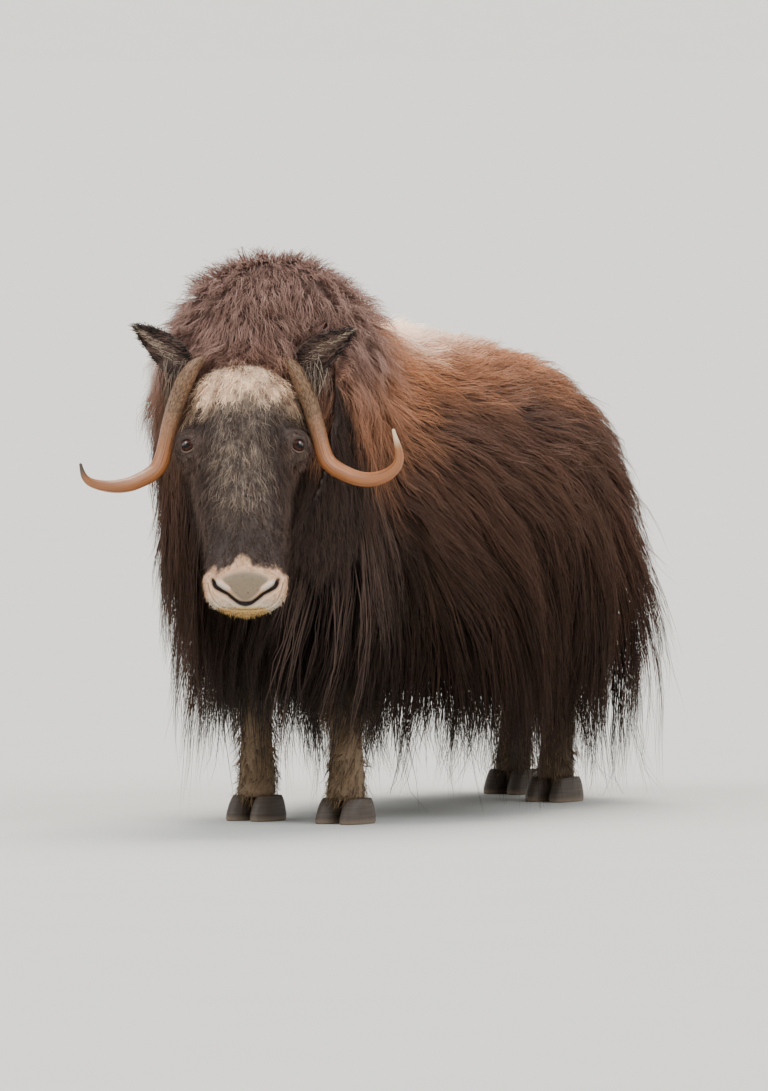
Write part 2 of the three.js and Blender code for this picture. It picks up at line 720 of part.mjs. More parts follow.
// A place on the mane: along the neck, away from its crest over one side, and out from the tips' outline.
function onMane(along, over, side, out) {
  const share = clamp(along, 0, 1);
  const centre = neckCurve.getPointAt(share);
  const heading = neckCurve.getTangentAt(share).setZ(0).normalize();
  centre.addScaledVector(heading, (along - share) * 380);
  const across = vec(-heading.y, heading.x, 0).multiplyScalar(side);
  const { wide, high } = maneSizes(clamp(along, 0, 1.3));
  const bent = Math.min(over, 90) * (Math.PI / 180);
  const drop = over > 90 ? (over - 90) * 4.6 : 0;
  const away = across.clone().multiplyScalar(Math.sin(bent)).addScaledVector(upwards, Math.cos(bent));
  const place = centre
    .addScaledVector(across, (wide + out) * Math.sin(bent) - 0.14 * drop)
    .addScaledVector(upwards, (high + out) * Math.cos(bent) - drop);
  return { place, out: away };
}

// The mane, in tiers from the crest down over both sides, and a ruff round the face.
const maneTiers = [
  { start: 2, sweep: 60, from: 0.06, to: 0.9, count: 4 },
  { start: 42, sweep: 60, from: 0.0, to: 0.96, count: 4 },
  { start: 80, sweep: 64, from: 0.08, to: 1.02, count: 4 },
  { start: 102, sweep: 66, from: 0.5, to: 1.0, count: 2 },
];
const maneWidth = 112;
const fringe = [-40, -14, 14, 40]; // how far over its side each lock of the fringe begins

function maneLocks() {
  const locks = [];
  for (const { start, sweep, from, to, count } of maneTiers) {
    for (const side of [1, -1]) {
      evenly(count, from, to).forEach((place, i) => {
        const along = place + chance(-0.03, 0.03);
        const over = start + chance(-5, 5);
        const byEar = along > (side > 0 ? 0.5 : 0.74) && start < 76; // the ear stands here, clear of the mane
        if (byEar && start > 20) return;
        const fall = (byEar ? 0.6 : 1) * sweep * chance(0.9, 1.12);
        const behindEar = side < 0 && start > 20 && along > 0.5 && along < 0.8;
        const fuller = behindEar ? 20 : 0;
        const raised = (i % 2) * 8 + fuller;
        const sway = chance(-0.05, 0.05);
        const placeAt = (share) => {
          const out = -62 - (byEar ? 14 : 0) + raised + 132 * share - 78 * share ** 2;
          return onMane(along - 0.05 * share + sway * Math.sin(3 * share), over + fall * share, side, out);
        };
        locks.push(lock(placeAt, { width: maneWidth * chance(0.92, 1.14) }));
      });
    }
  }
  for (const over of fringe) {
    const side = Math.sign(over);
    const reachOut = chance(0.26, 0.34);
    const placeAt = (share) => {
      const out = -56 + 72 * share - 150 * share ** 2;
      return onMane(0.88 + reachOut * share, Math.abs(over) + 8 * share, side, out);
    };
    locks.push(lock(placeAt, { width: maneWidth * chance(0.9, 1.1) }));
  }
  return locks;
}

// The beard, hanging from the throat.
function beardLocks() {
  return evenly(6, -1, 1).map((turn) => {
    const root = byHead(turn * 96, -92 + 26 * turn * turn, -330 - chance(0, 40));
    const length = 250 - 60 * Math.abs(turn) + chance(-25, 25);
    const sway = chance(-18, 18);
    const placeAt = (share) => ({
      place: root
        .clone()
        .addScaledVector(forwards, 34 * Math.sin(2.4 * share) - 40 * share)
        .addScaledVector(leftwards, sway * share ** 2)
        .addScaledVector(upwards, -length * share),
      out: forwards.clone().addScaledVector(leftwards, turn * 0.8).normalize(),
    });
    return lock(placeAt, { width: 88 });
  });
}

const tailSolid = tail();
const earsGrown = [ear(1, 2 * gap), ear(-1, 2 * gap)];
const body = join(bodyCore, coatLocks(), maneLocks(), beardLocks()).simplify(7);
const bodyCuts = join(legsGrown, hornsGrown, headGrown, earsGrown, tail(gap));
const regions = {
  neck: [null, cuts.neck],
  shoulders: [cuts.neck, cuts.loin],
  barrel: [cuts.loin, cuts.hip],
  rump: [cuts.hip, null],
};
for (const [name, [fore, rear]] of Object.entries(regions)) {
  const solid = between(body, fore, rear).subtract(bodyCuts);
  addNode(name, solid, name === "neck" || name === "shoulders" ? "mane" : "coat");
}
addNode("tail", tailSolid, "coat");
addNode("head", headSolid, "face");
for (const [name, side] of Object.entries(sides)) {
  addNode(`eye_${name}`, eye(side), "eye");
  addNode(`horn_${name}`, horn(hornShape[name]), "horn");
  addNode(`ear_${name}`, ear(side).subtract(join(headGrown, hornsGrown)), "face");
}

const group = new THREE.Group();
const bounds = new THREE.Box3();
for (const { name, solid, finish } of nodes) {
  const geometry = geometryOf(solid);
  geometry.computeBoundingBox();
  bounds.union(geometry.boundingBox);
  const color = colours[finish];
  const material = new THREE.MeshStandardMaterial({ color, metalness: 0, ...finishes[finish] });
  const mesh = new THREE.Mesh(geometry, material);
  mesh.name = name;
  group.add(mesh);
}
const centre = bounds.getCenter(new THREE.Vector3());
group.position.set(-centre.x, -centre.y, 0);

export default group;
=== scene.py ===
# %% [markdown]
# A life-size muskox, dressed for its picture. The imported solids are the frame: they say where every part
# of the animal is. This lesson puts one skin inside them, grows a coat of thin mesh locks on that skin,
# and gives the horns, hooves and eyes their own shapes and finishes.

import math

import bmesh
import bpy
import numpy as np
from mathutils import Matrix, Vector
from mathutils.bvhtree import BVHTree
from mathutils.kdtree import KDTree


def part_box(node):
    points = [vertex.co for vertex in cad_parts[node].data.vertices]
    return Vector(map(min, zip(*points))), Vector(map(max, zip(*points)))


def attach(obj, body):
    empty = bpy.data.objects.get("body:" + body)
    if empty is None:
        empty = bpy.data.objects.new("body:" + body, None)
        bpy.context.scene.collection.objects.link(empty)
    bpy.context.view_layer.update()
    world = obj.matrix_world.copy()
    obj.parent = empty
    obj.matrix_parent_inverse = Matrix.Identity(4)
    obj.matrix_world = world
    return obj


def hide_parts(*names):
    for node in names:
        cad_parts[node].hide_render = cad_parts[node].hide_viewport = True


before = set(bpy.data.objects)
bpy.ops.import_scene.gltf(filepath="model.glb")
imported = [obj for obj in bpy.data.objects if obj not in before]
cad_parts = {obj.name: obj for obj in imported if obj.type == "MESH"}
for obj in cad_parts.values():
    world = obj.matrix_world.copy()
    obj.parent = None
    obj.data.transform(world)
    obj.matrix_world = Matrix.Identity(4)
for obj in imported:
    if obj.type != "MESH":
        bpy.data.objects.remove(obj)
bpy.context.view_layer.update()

# %% [markdown]
# The sizes are those of the animal: withers a little over a metre, a head of 0.55 m turned 30 degrees to
# its left and hanging nose down. They are kept in the animal's own coordinates, where x = 0 is the middle
# of the chest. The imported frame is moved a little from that, and the place of one eye tells how much.

# %% Sizes of the head, and the way from the animal's own coordinates to the frame's
HEAD_TURN, HEAD_PITCH = math.radians(30), math.radians(62)
POLL = np.array([0.020, -0.722, 0.972])
UP = np.array([0.0, 0.0, 1.0])
FORWARDS = np.array([math.sin(HEAD_TURN), -math.cos(HEAD_TURN), 0.0])
LEFTWARDS = np.array([math.cos(HEAD_TURN), math.sin(HEAD_TURN), 0.0])
DOWN_FACE = FORWARDS * math.cos(HEAD_PITCH) - UP * math.sin(HEAD_PITCH)
BEHIND_FACE = -FORWARDS * math.sin(HEAD_PITCH) - UP * math.cos(HEAD_PITCH)
EYE_RADIUS = 0.017
NOSE_LEAN = 0.007  # how far the muzzle leans to the head's left
NOSE_DROP = 0.007  # how far down the nose's lines are moved, as they are seen from a little above
NOSE_START = 0.44  # how far down the face the nose begins


def on_head(across, along, back):
    """A place given across the face, down it from the poll, and back from its front."""
    return POLL + LEFTWARDS * across + DOWN_FACE * along + BEHIND_FACE * back


def by_head(across, ahead, up):
    """A place given level with the ground: across the head, ahead of the poll, and up from it."""
    return POLL + LEFTWARDS * across + FORWARDS * ahead + UP * up


def unit(v):
    """Vectors of length one."""
    v = np.asarray(v, float)
    return v / np.maximum(np.linalg.norm(v, axis=-1, keepdims=True), 1e-9)


def eye_centre(side):
    """The middle of an eyeball. Side is 1 for the left eye and -1 for the right."""
    return on_head(side * 0.110, 0.179, 0.043)


def from_pair(points, place):
    """How far points are from the nearer of two places. Place gives one of them for each side."""
    return np.minimum(*(np.linalg.norm(points - place(side), axis=1) for side in (-1, 1)))


eye_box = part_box("eye_left")
SHIFT = (np.array(eye_box[0]) + np.array(eye_box[1])) / 2 - eye_centre(1)
print("the frame is moved by", SHIFT.round(5))

# %% [markdown]
# Everything below is made of a few kinds of form. A loft joins rings of points into a closed tube, which
# suits a trunk, a leg or a horn. A ball is a loft whose rings grow and shrink. Sections given at a few
# places are drawn out along a smooth curve, so that a handful of sizes gives a round body.

# %% Helpers for smooth forms
def ease(value, start, end):
    """0 before start and 1 after end, with a soft change between."""
    share = np.clip((np.asarray(value, float) - start) / (end - start), 0, 1)
    return share * share * (3 - 2 * share)


def blend(a, b, share):
    """From a to b."""
    return a + (b - a) * share


def drawn_out(rows, count):
    """Rows of sizes, drawn out to count rows along a smooth curve through them."""
    rows = np.asarray(rows, float)
    at = np.linspace(0, len(rows) - 1, count)
    i = np.clip(at.astype(int), 0, len(rows) - 2)
    t = (at - i)[:, None]
    before, start, end, after = (rows[np.clip(i + k, 0, len(rows) - 1)] for k in (-1, 0, 1, 2))
    bend = 2 * before - 5 * start + 4 * end - after
    twist = -before + 3 * start - 3 * end + after
    return 0.5 * (2 * start + (end - before) * t + bend * t**2 + twist * t**3)


def oval(count, power):
    """Points round a rounded box of half size one: power 2 is a circle, more is squarer."""
    turn = np.linspace(0, 2 * math.pi, count, endpoint=False)
    c, s = np.cos(turn), np.sin(turn)
    return np.sign(c) * np.abs(c) ** (2 / power), np.sign(s) * np.abs(s) ** (2 / power)


def loft(rings, first, last):
    """Points and faces of a closed tube through these rings, closed by a point at each end."""
    rings = np.asarray(rings, float)
    rows, count = rings.shape[:2]
    points = np.vstack([rings.reshape(-1, 3), first, last])
    here = np.arange(count)
    there = (here + 1) % count
    faces = []
    for row in range(rows - 1):
        low, high = row * count, (row + 1) * count
        faces += [(low + a, low + b, high + b, high + a) for a, b in zip(here, there)]
    faces += [(b, a, rows * count) for a, b in zip(here, there)]
    top = (rows - 1) * count
    faces += [(top + a, top + b, rows * count + 1) for a, b in zip(here, there)]
    return points, faces


def ball(centre, halves, axes, count=20):
    """A stretched ball: its half sizes lie along the three axes given."""
    axes = np.asarray(axes, float)
    tilt = np.linspace(-1, 1, count // 2 + 1)[1:-1] * math.pi / 2
    across, deep = oval(count, 2)
    rings = []
    for t in tilt:
        local = np.stack([across * math.cos(t), deep * math.cos(t), np.full(count, math.sin(t))], 1)
        rings.append(centre + (local * halves) @ axes)
    ends = axes[2] * halves[2]
    return loft(rings, centre - ends, centre + ends)


def tube(path, halves, up, count=24, power=2.0, steps=24):
    """A tube along a path, with half sizes (across, rise) at each of its points."""
    rows = drawn_out(np.hstack([path, halves]), steps)
    centres, sizes = rows[:, :3], rows[:, 3:]
    ways = unit(np.gradient(centres, axis=0))
    side = unit(np.cross(ways, up))
    rise = np.cross(side, ways)
    a, b = oval(count, power)
    rings = centres[:, None] + side[:, None] * (a[:, None] * sizes[:, None, :1])
    rings = rings + rise[:, None] * (b[:, None] * sizes[:, None, 1:2])
    tips = sizes.mean(1) * 0.3
    return loft(rings, centres[0] - ways[0] * tips[0], centres[-1] + ways[-1] * tips[-1])


# %% [markdown]
# The skin is roughed out from overlapping closed forms, as an armature is padded with clay: a trunk of
# rounded sections with the high shoulders of the species, a short deep neck, a long head with bony eye
# sockets, four slim legs and a stump of a tail. These are the sizes under the coat, in metres.

# %% Body sizes under the coat
TRUNK = [  # place along the body, top, bottom, half width, level of the widest line
    (-0.640, 0.780, 0.600, 0.090, 0.690),
    (-0.560, 0.960, 0.470, 0.190, 0.690),
    (-0.430, 1.075, 0.410, 0.235, 0.700),
    (-0.250, 1.040, 0.400, 0.255, 0.680),
    (0.000, 1.005, 0.395, 0.268, 0.670),
    (0.240, 0.975, 0.405, 0.262, 0.670),
    (0.455, 0.932, 0.430, 0.224, 0.680),
    (0.620, 0.850, 0.500, 0.142, 0.690),
    (0.705, 0.760, 0.580, 0.072, 0.690),
]
NECK = [(0, -0.330, 0.800), (-0.008, -0.480, 0.838), (-0.034, -0.590, 0.858), by_head(0, -0.066, -0.104)]
NECK_HALVES = [(0.186, 0.222), (0.204, 0.300), (0.200, 0.308), (0.126, 0.188)]
HEAD = [  # place down the face, half width, front, back
    (0.005, 0.080, 0.024, 0.128),
    (0.065, 0.100, 0.004, 0.176),
    (0.155, 0.103, 0.002, 0.192),
    (0.240, 0.093, 0.006, 0.180),
    (0.330, 0.080, 0.008, 0.146),
    (0.420, 0.075, 0.005, 0.117),
    (0.478, 0.081, 0.000, 0.106),
    (0.524, 0.079, 0.009, 0.098),
    (0.546, 0.060, 0.031, 0.086),
]
FEET = {
    "fore_left": (0.108, -0.450),
    "fore_right": (-0.108, -0.450),
    "hind_left": (0.108, 0.440),
    "hind_right": (-0.108, 0.640),
}
FORELEG = [  # height, how far ahead, half width along the body, half width across, how far inwards
    (0.530, -0.030, 0.088, 0.070, -0.024),
    (0.400, -0.012, 0.070, 0.060, -0.012),
    (0.290, 0.006, 0.049, 0.044, 0.000),
    (0.200, 0.002, 0.036, 0.032, 0.000),
    (0.112, 0.000, 0.040, 0.035, 0.000),
    (0.050, 0.002, 0.043, 0.041, 0.000),
]
HINDLEG = [
    (0.560, 0.040, 0.110, 0.072, -0.022),
    (0.440, -0.006, 0.082, 0.058, -0.012),
    (0.335, -0.048, 0.050, 0.038, 0.000),
    (0.220, -0.024, 0.036, 0.032, 0.000),
    (0.112, -0.006, 0.039, 0.034, 0.000),
    (0.050, 0.000, 0.042, 0.040, 0.000),
]
FACE_AXES = [LEFTWARDS, DOWN_FACE, BEHIND_FACE]


def eye_out(side):
    """The way that an eye looks."""
    return unit(LEFTWARDS * side * 0.47 + FORWARDS * 0.88 - UP * 0.02)


def nose_sway(along):
    """How far the muzzle leans to the head's left of its middle line."""
    return NOSE_LEAN * ease(along, 0.22, 0.50)


def trunk_form():
    """The trunk, rounder above its widest line than below."""
    rows = drawn_out(TRUNK, 48)
    rings = []
    for y, top, bottom, wide, middle in rows:
        across, rise = oval(48, 1.9)
        square, drop = oval(48, 2.6)
        lower = drop < 0
        x = np.where(lower, square, across) * wide
        z = middle + np.where(lower, drop * (middle - bottom), rise * (top - middle))
        rings.append(np.stack([x, np.full(48, y), z], 1))
    return loft(rings, (0, -0.655, 0.690), (0, 0.722, 0.680))


def head_form():
    """The long head with its squared muzzle."""
    rings = []
    for along, wide, front, back in drawn_out(HEAD, 40):
        a, b = oval(36, 2.4)
        middle, half = (front + back) / 2, (back - front) / 2
        centre = on_head(nose_sway(along), along, middle)
        rings.append(centre + np.outer(a * wide, LEFTWARDS) + np.outer(b * half, BEHIND_FACE))
    return loft(rings, on_head(0, -0.006, 0.070), on_head(NOSE_LEAN, 0.556, 0.060))


def leg_form(foot, rows):
    """A leg with its knee or hock, down to the top of the hoof."""
    side = np.sign(foot[0])
    rings = []
    for z, ahead, along, across, inwards in drawn_out(rows, 40):
        a, b = oval(24, 2)
        x = foot[0] - side * inwards + a * across
        y = foot[1] - ahead + b * along
        rings.append(np.stack([x, y, np.full(24, z)], 1))
    return loft(rings, rings[0].mean(0) + UP * 0.02, rings[-1].mean(0) - UP * 0.006)


def eye_forms(side):
    """The bony ring round an eye, the cheekbone below it and the brow above."""
    out = eye_out(side)
    centre = eye_centre(side)
    rise = unit(UP - out * out[2])
    axes = [np.cross(rise, out), rise, out]
    return [
        ball(centre - out * 0.004, (0.027, 0.0245, 0.0225), axes),
        ball(centre - out * 0.020 - UP * 0.004, (0.043, 0.043, 0.031), axes),
        ball(centre + rise * 0.014 - out * 0.003, (0.026, 0.011, 0.020), axes),
    ]


forms = [trunk_form(), head_form(), tube(NECK, NECK_HALVES, UP, 36, 2.1)]
forms.append(ball(on_head(0, 0.078, 0.096), (0.106, 0.110, 0.098), FACE_AXES, 28))
forms.append(ball(on_head(NOSE_LEAN, 0.528, 0.082), (0.040, 0.020, 0.020), FACE_AXES))
for name, foot in FEET.items():
    forms.append(leg_form(foot, FORELEG if name.startswith("fore") else HINDLEG))
    for side in (-1, 1):
        claw = np.array([foot[0] + side * 0.016, foot[1] + 0.040, 0.098])
        forms.append(ball(claw, (0.008, 0.011, 0.014), np.eye(3), 12))
forms += [form for side in (-1, 1) for form in eye_forms(side)]
TAIL = [(0, 0.660, 0.780), (0, 0.712, 0.750), (0, 0.736, 0.710), (0, 0.742, 0.655)]
forms.append(tube(TAIL, [(0.030, 0.017), (0.028, 0.015), (0.024, 0.013), (0.016, 0.008)], (0, 1, 0.3), 16))
print("roughed out from", len(forms), "forms")


# %% [markdown]
# A voxel remesh fuses the forms into one closed surface, and smoothing melts the joints between them. The
# grid is 7 mm, fine enough for a trunk. The face is then divided again, and the nose once more, because
# the nostrils and the lips have edges of a millimetre or two.

# %% Fuse the forms into one skin
def placed(name, mesh):
    """A new object of this mesh, smooth shaded, standing in the animal's own coordinates."""
    mesh.shade_smooth()
    thing = bpy.data.objects.new(name, mesh)
    bpy.context.scene.collection.objects.link(thing)
    thing.location = SHIFT
    return thing


def plain_faces(faces):
    """Faces as lists of whole numbers, as Blender takes them."""
    return [tuple(int(i) for i in face) for face in faces]


def mesh_object(name, points, faces):
    """A new object from points and faces."""
    mesh = bpy.data.meshes.new(name)
    mesh.from_pydata([tuple(p) for p in np.asarray(points)], [], plain_faces(faces))
    return placed(name, mesh)


def face_outwards(mesh, first=0):
    """Turn the faces from number first on, so that they look out of their form."""
    net = bmesh.new()
    net.from_mesh(mesh)
    net.faces.ensure_lookup_table()
    bmesh.ops.recalc_face_normals(net, faces=list(net.faces)[first:])
    net.to_mesh(mesh)
    net.free()


def write_attribute(mesh, label, values):
    """Give each point of the mesh three numbers that a finish can read."""
    made = mesh.attributes.new(label, "FLOAT_VECTOR", "POINT")
    made.data.foreach_set("vector", np.asarray(values, np.float32).ravel())


def joined(parts):
    """Several (points, faces) as one."""
    points, faces, start = [], [], 0
    for some, sides in parts:
        points.append(some)
        faces += [tuple(i + start for i in side) for side in sides]
        start += len(some)
    return np.vstack(points), faces


def with_modifiers(thing, *steps):
    """The object's mesh after these modifiers, each a (type, settings) pair."""
    for kind, settings in steps:
        step = thing.modifiers.new(kind, kind)
        for setting, value in settings.items():
            setattr(step, setting, value)
    graph = bpy.context.evaluated_depsgraph_get()
    made = bpy.data.meshes.new_from_object(thing.evaluated_get(graph))
    thing.modifiers.clear()
    return made


def positions(mesh):
    """A mesh's points as an array."""
    flat = np.empty(3 * len(mesh.vertices), np.float32)
    mesh.vertices.foreach_get("co", flat)
    return flat.reshape(-1, 3).astype(float)


def head_places(p):
    """Points as (across the face, down it, back from it, ahead of the poll)."""
    q = p - POLL
    return q @ LEFTWARDS, q @ DOWN_FACE, q @ BEHIND_FACE, q @ FORWARDS


rough = mesh_object("rough_skin", *joined(forms))
fused = with_modifiers(
    rough,
    ("REMESH", {"mode": "VOXEL", "voxel_size": 0.007}),
    ("SMOOTH", {"factor": 0.5, "iterations": 4}),
)
bpy.data.objects.remove(rough)


def divided(mesh, inside):
    """The mesh with its edges cut in two where inside(points) holds for both ends."""
    net = bmesh.new()
    net.from_mesh(mesh)
    net.verts.ensure_lookup_table()
    marked = inside(np.array([v.co[:] for v in net.verts]))
    edges = [e for e in net.edges if marked[e.verts[0].index] and marked[e.verts[1].index]]
    bmesh.ops.subdivide_edges(net, edges=edges, cuts=1, use_grid_fill=True)
    net.verts.ensure_lookup_table()
    near = inside(np.array([v.co[:] for v in net.verts]))
    soft = [v for v, here in zip(net.verts, near) if here]
    axes = dict(use_axis_x=True, use_axis_y=True, use_axis_z=True)
    for _ in range(2):
        bmesh.ops.smooth_vert(net, verts=soft, factor=0.5, **axes)
    net.to_mesh(mesh)
    net.free()
    return mesh


def on_the_face(p):
    """True on the front of the head."""
    _, along, back, ahead = head_places(p)
    return (ahead > -0.06) & (along > 0.05) & (back < 0.16) & (along < 0.6)


def on_the_nose(p):
    """True on the muzzle."""
    _, along, _, ahead = head_places(p)
    return (ahead > -0.02) & (along > 0.445) & (along < 0.6)


fused = divided(fused, on_the_face)
fused = divided(fused, on_the_nose)
print("skin of", len(fused.vertices), "points")


# %% [markdown]
# Now the face is carved by moving points, as a modeller presses clay: the two nostrils run from the sides
# of the nose pad down to its middle and meet in a V, the mouth is a shallow line above the chin, and the
# hollow in front of each eye lets the eyeball sit in the head.

# %% Carve the nose, mouth and eye hollows
def line_distance(u, v, line):
    """How far points are from a line of (u, v) places, and how far along it the nearest spot is."""
    best, where = np.full(len(u), 9.0), np.zeros(len(u))
    for k in range(len(line) - 1):
        a, b = np.array(line[k]), np.array(line[k + 1])
        way = b - a
        share = np.clip(((u - a[0]) * way[0] + (v - a[1]) * way[1]) / (way @ way), 0, 1)
        far = np.hypot(u - a[0] - share * way[0], v - a[1] - share * way[1])
        nearer = far < best
        best = np.where(nearer, far, best)
        where = np.where(nearer, (k + share) / (len(line) - 1), where)
    return best, where


def smooth_line(*places):
    """A line through these places with no corners. A place is how far across the nose and how far down."""
    return [tuple(spot) for spot in drawn_out(places, 4 * len(places))]


NOSTRIL = smooth_line((0.067, 0.4545), (0.0615, 0.468), (0.050, 0.476), (0.037, 0.483), (0.0245, 0.4935),
                      (0.012, 0.502), (0.0, 0.5045))
WING = smooth_line((0.058, 0.4615), (0.048, 0.466), (0.037, 0.472))
MOUTH = smooth_line((0.0, 0.5165), (0.024, 0.516), (0.047, 0.511), (0.062, 0.500), (0.072, 0.482),
                    (0.077, 0.462))
LIP_RIM = [(0.078, 0.452), (0.073, 0.470), (0.058, 0.486), (0.040, 0.497)]
CHIN_FALL, CHIN_WIDTH = [0.492, 0.511, 0.520, 0.530, 0.542], [1.0, 0.90, 0.76, 0.64, 0.52]


def fall_from_poll(p):
    """How far below the poll points are, as the lines of the nose count it."""
    return POLL[2] - p[:, 2] + NOSE_DROP


def from_nostril(p):
    """How far points are from the line of the nostrils, seen from the front."""
    return line_distance(np.abs(head_places(p)[0] - NOSE_LEAN), fall_from_poll(p), NOSTRIL)[0]


def nose_marks(p):
    """How far in a nostril, the mouth's line, the bare pad and a nostril's wing each point is."""
    across, along, back, _ = head_places(p)
    across = across - nose_sway(along)
    fall = fall_from_poll(p)
    front = (1 - ease(back, 0.058, 0.085)) * (along > NOSE_START)
    far, where = line_distance(np.abs(across), fall, NOSTRIL)
    thick = blend(0.0050, 0.0032, ease(where, 0.18, 0.45)) + 0.0030 * ease(where, 0.66, 1.0)
    thick = thick * blend(0.45, 1.0, ease(where, 0.0, 0.12))
    nostril = np.exp(-((far / thick) ** 2)) * front
    lips, _ = line_distance(np.abs(across), fall, MOUTH)
    mouth = np.exp(-((lips / 0.0022) ** 2)) * (1 - ease(back, 0.090, 0.104)) * (along > 0.46)
    inner = ease(0.056 - np.hypot(across, 0.012) - np.clip(fall - 0.450, 0, 1) * 0.90, -0.010, 0.012)
    pad = inner * ease(fall - 6.0 * across**2, 0.424, 0.452) * front * (1 - nostril)
    wing, _ = line_distance(np.abs(across), fall, WING)
    wing = np.exp(-((wing / 0.0056) ** 2)) * front
    return nostril, mouth, pad, wing


skin_points = positions(fused)
skin_normals = np.empty(3 * len(fused.vertices), np.float32)
fused.vertex_normals.foreach_get("vector", skin_normals)
skin_normals = skin_normals.reshape(-1, 3).astype(float)
across, along, back, ahead = head_places(skin_points)
narrow = np.interp(fall_from_poll(skin_points), CHIN_FALL, CHIN_WIDTH)
narrow = blend(1.0, narrow, ease(along, 0.42, 0.47) * (ahead > 0.05) * (along < 0.6))
skin_points += LEFTWARDS * ((across - nose_sway(along)) * (narrow - 1))[:, None]
nostril, mouth, pad, wing = nose_marks(skin_points)
carve = nostril * 0.0130 + mouth * 0.0040 - pad * 0.0030 - wing * 0.0046
across, along, back, ahead = head_places(skin_points)
rim, _ = line_distance(np.abs(across - nose_sway(along)), fall_from_poll(skin_points), LIP_RIM)
carve -= np.exp(-((rim / 0.009) ** 2)) * 0.0046 * (1 - ease(back, 0.060, 0.090)) * (along > NOSE_START)
skin_points -= skin_normals * carve[:, None]
SOCKET_REACH = 2 * EYE_RADIUS
for side in (-1, 1):
    away = skin_points - eye_centre(side)
    reach = np.linalg.norm(away, axis=1)
    out = away @ eye_out(side) / np.maximum(reach, 1e-6)
    dome = EYE_RADIUS + 0.0030 - 0.0060 * (1 - ease(out, -0.2, 0.5))
    skin_points += unit(away) * (np.clip(dome - reach, 0, 0.02) * (reach < SOCKET_REACH))[:, None]
    hollow = ease(out, 0.52, 0.68) * (reach < SOCKET_REACH)
    goal = EYE_RADIUS - 0.003
    skin_points += unit(away) * ((goal - np.maximum(reach, dome)) * hollow)[:, None]
fused.vertices.foreach_set("co", skin_points.astype(np.float32).ravel())
fused.update()
print("deepest carving", round(float(carve.max()) * 1000, 1), "mm")


# %% [markdown]
# An eyelid is a thin fold that follows the eyeball and ends in a rounded rim. It is modelled as a small
# curved sheet of rings round the almond of the opening: the first ring lies under the rim, the next ones
# roll over it, and the last sinks into the skin. The ears are leaf shapes, cupped and open to the front.

# %% Lids and ears, which join the skin
LID_HALF_LENGTH, LID_HALF_HEIGHT, LID_POINTS = 0.0168, 0.0140, 64
LID_ROUNDS = [  # how many times the size of the opening, and how far above the eyeball
    (0.95, 0.0002), (0.98, 0.0012), (1.02, 0.0024), (1.12, 0.0030), (1.26, 0.0028), (1.40, 0.0036),
    (1.56, 0.0028), (1.75, 0.0024), (2.00, -0.0004), (2.4, -0.0060),
]


def eye_axes(side):
    """Along the slit of the lids, up, and out. The slit drops towards the nose."""
    out = eye_out(side)
    rise = unit(UP - out * out[2])
    level = np.cross(rise, out)
    tilt = math.radians(14) * side
    slit = math.cos(tilt) * level - math.sin(tilt) * rise
    return slit, math.cos(tilt) * rise + math.sin(tilt) * level, out


def lids(side):
    """Both lids of one eye as a ring-shaped sheet."""
    slit, rise, out = eye_axes(side)
    turn = np.linspace(0, 2 * math.pi, LID_POINTS, endpoint=False)
    rings = []
    for grow, thick in LID_ROUNDS:
        u = np.cos(turn) * LID_HALF_LENGTH * (1 + (grow - 1) * 0.70)
        heavy = np.where(np.sin(turn) > 0, 1.0, 0.86)
        v = np.sign(np.sin(turn)) * np.abs(np.sin(turn)) ** 1.08 * LID_HALF_HEIGHT * heavy * grow
        folds = 0.0007 * np.sin(grow * 24) * (grow > 1.1) * np.clip(np.sin(turn), -0.4, 1)
        radius = EYE_RADIUS + thick + folds
        w = np.sqrt(np.maximum(radius**2 - u**2 - v**2, 1e-6))
        rings.append(eye_centre(side) + np.outer(u, slit) + np.outer(v, rise) + np.outer(w, out))
    faces = []
    for row in range(len(rings) - 1):
        for k in range(LID_POINTS):
            m = (k + 1) % LID_POINTS
            low, high = row * LID_POINTS, (row + 1) * LID_POINTS
            face = (low + k, low + m, high + m, high + k)
            faces.append(face if side > 0 else face[::-1])
    return np.vstack(rings), faces


EAR_LENGTH, EAR_WIDTH, EAR_CUP, EAR_THICK = 0.142, 0.086, 0.024, 0.0045


def ear_frame(side):
    """Root, the way to the tip, the way across the blade, and the way its cup opens."""
    inner_side = (side + 1) / 2
    root = by_head(side * 0.112, -0.050 + 0.012 * inner_side, -0.026)
    tip = by_head(side * 0.236, -0.066 + 0.078 * inner_side, 0.062 - 0.008 * inner_side)
    long = unit(tip - root)
    opens = FORWARDS + LEFTWARDS * (0.10 if side > 0 else -0.45) - UP * 0.10
    opens = unit(opens - long * (opens @ long))
    return root, long, np.cross(opens, long), opens


def ear_sheet(side, inwards):
    """The inner or outer face of an ear as a grid of points."""
    root, long, wide, opens = ear_frame(side)
    down, over = np.meshgrid(np.linspace(0, 1, 30), np.linspace(-1, 1, 25), indexing="ij")
    half = EAR_WIDTH / 2 * (0.62 + 0.38 * ease(down, 0, 0.35)) * np.clip(1 - down**2.1, 0, 1) ** 0.62
    curl = over * (1.25 - 0.45 * down)
    u = half * np.sin(curl) / 0.95
    cup = EAR_CUP * (1 - np.cos(curl)) * 1.2 * np.sqrt(half / (EAR_WIDTH / 2))
    back = EAR_CUP * 0.5 - cup - inwards * EAR_THICK * np.sqrt(np.clip(1 - over**2, 0, 1))
    p = root + long * (down * EAR_LENGTH)[..., None] + wide * u[..., None] - opens * back[..., None]
    return p + UP * (0.010 * np.sin(down * 2.2))[..., None]


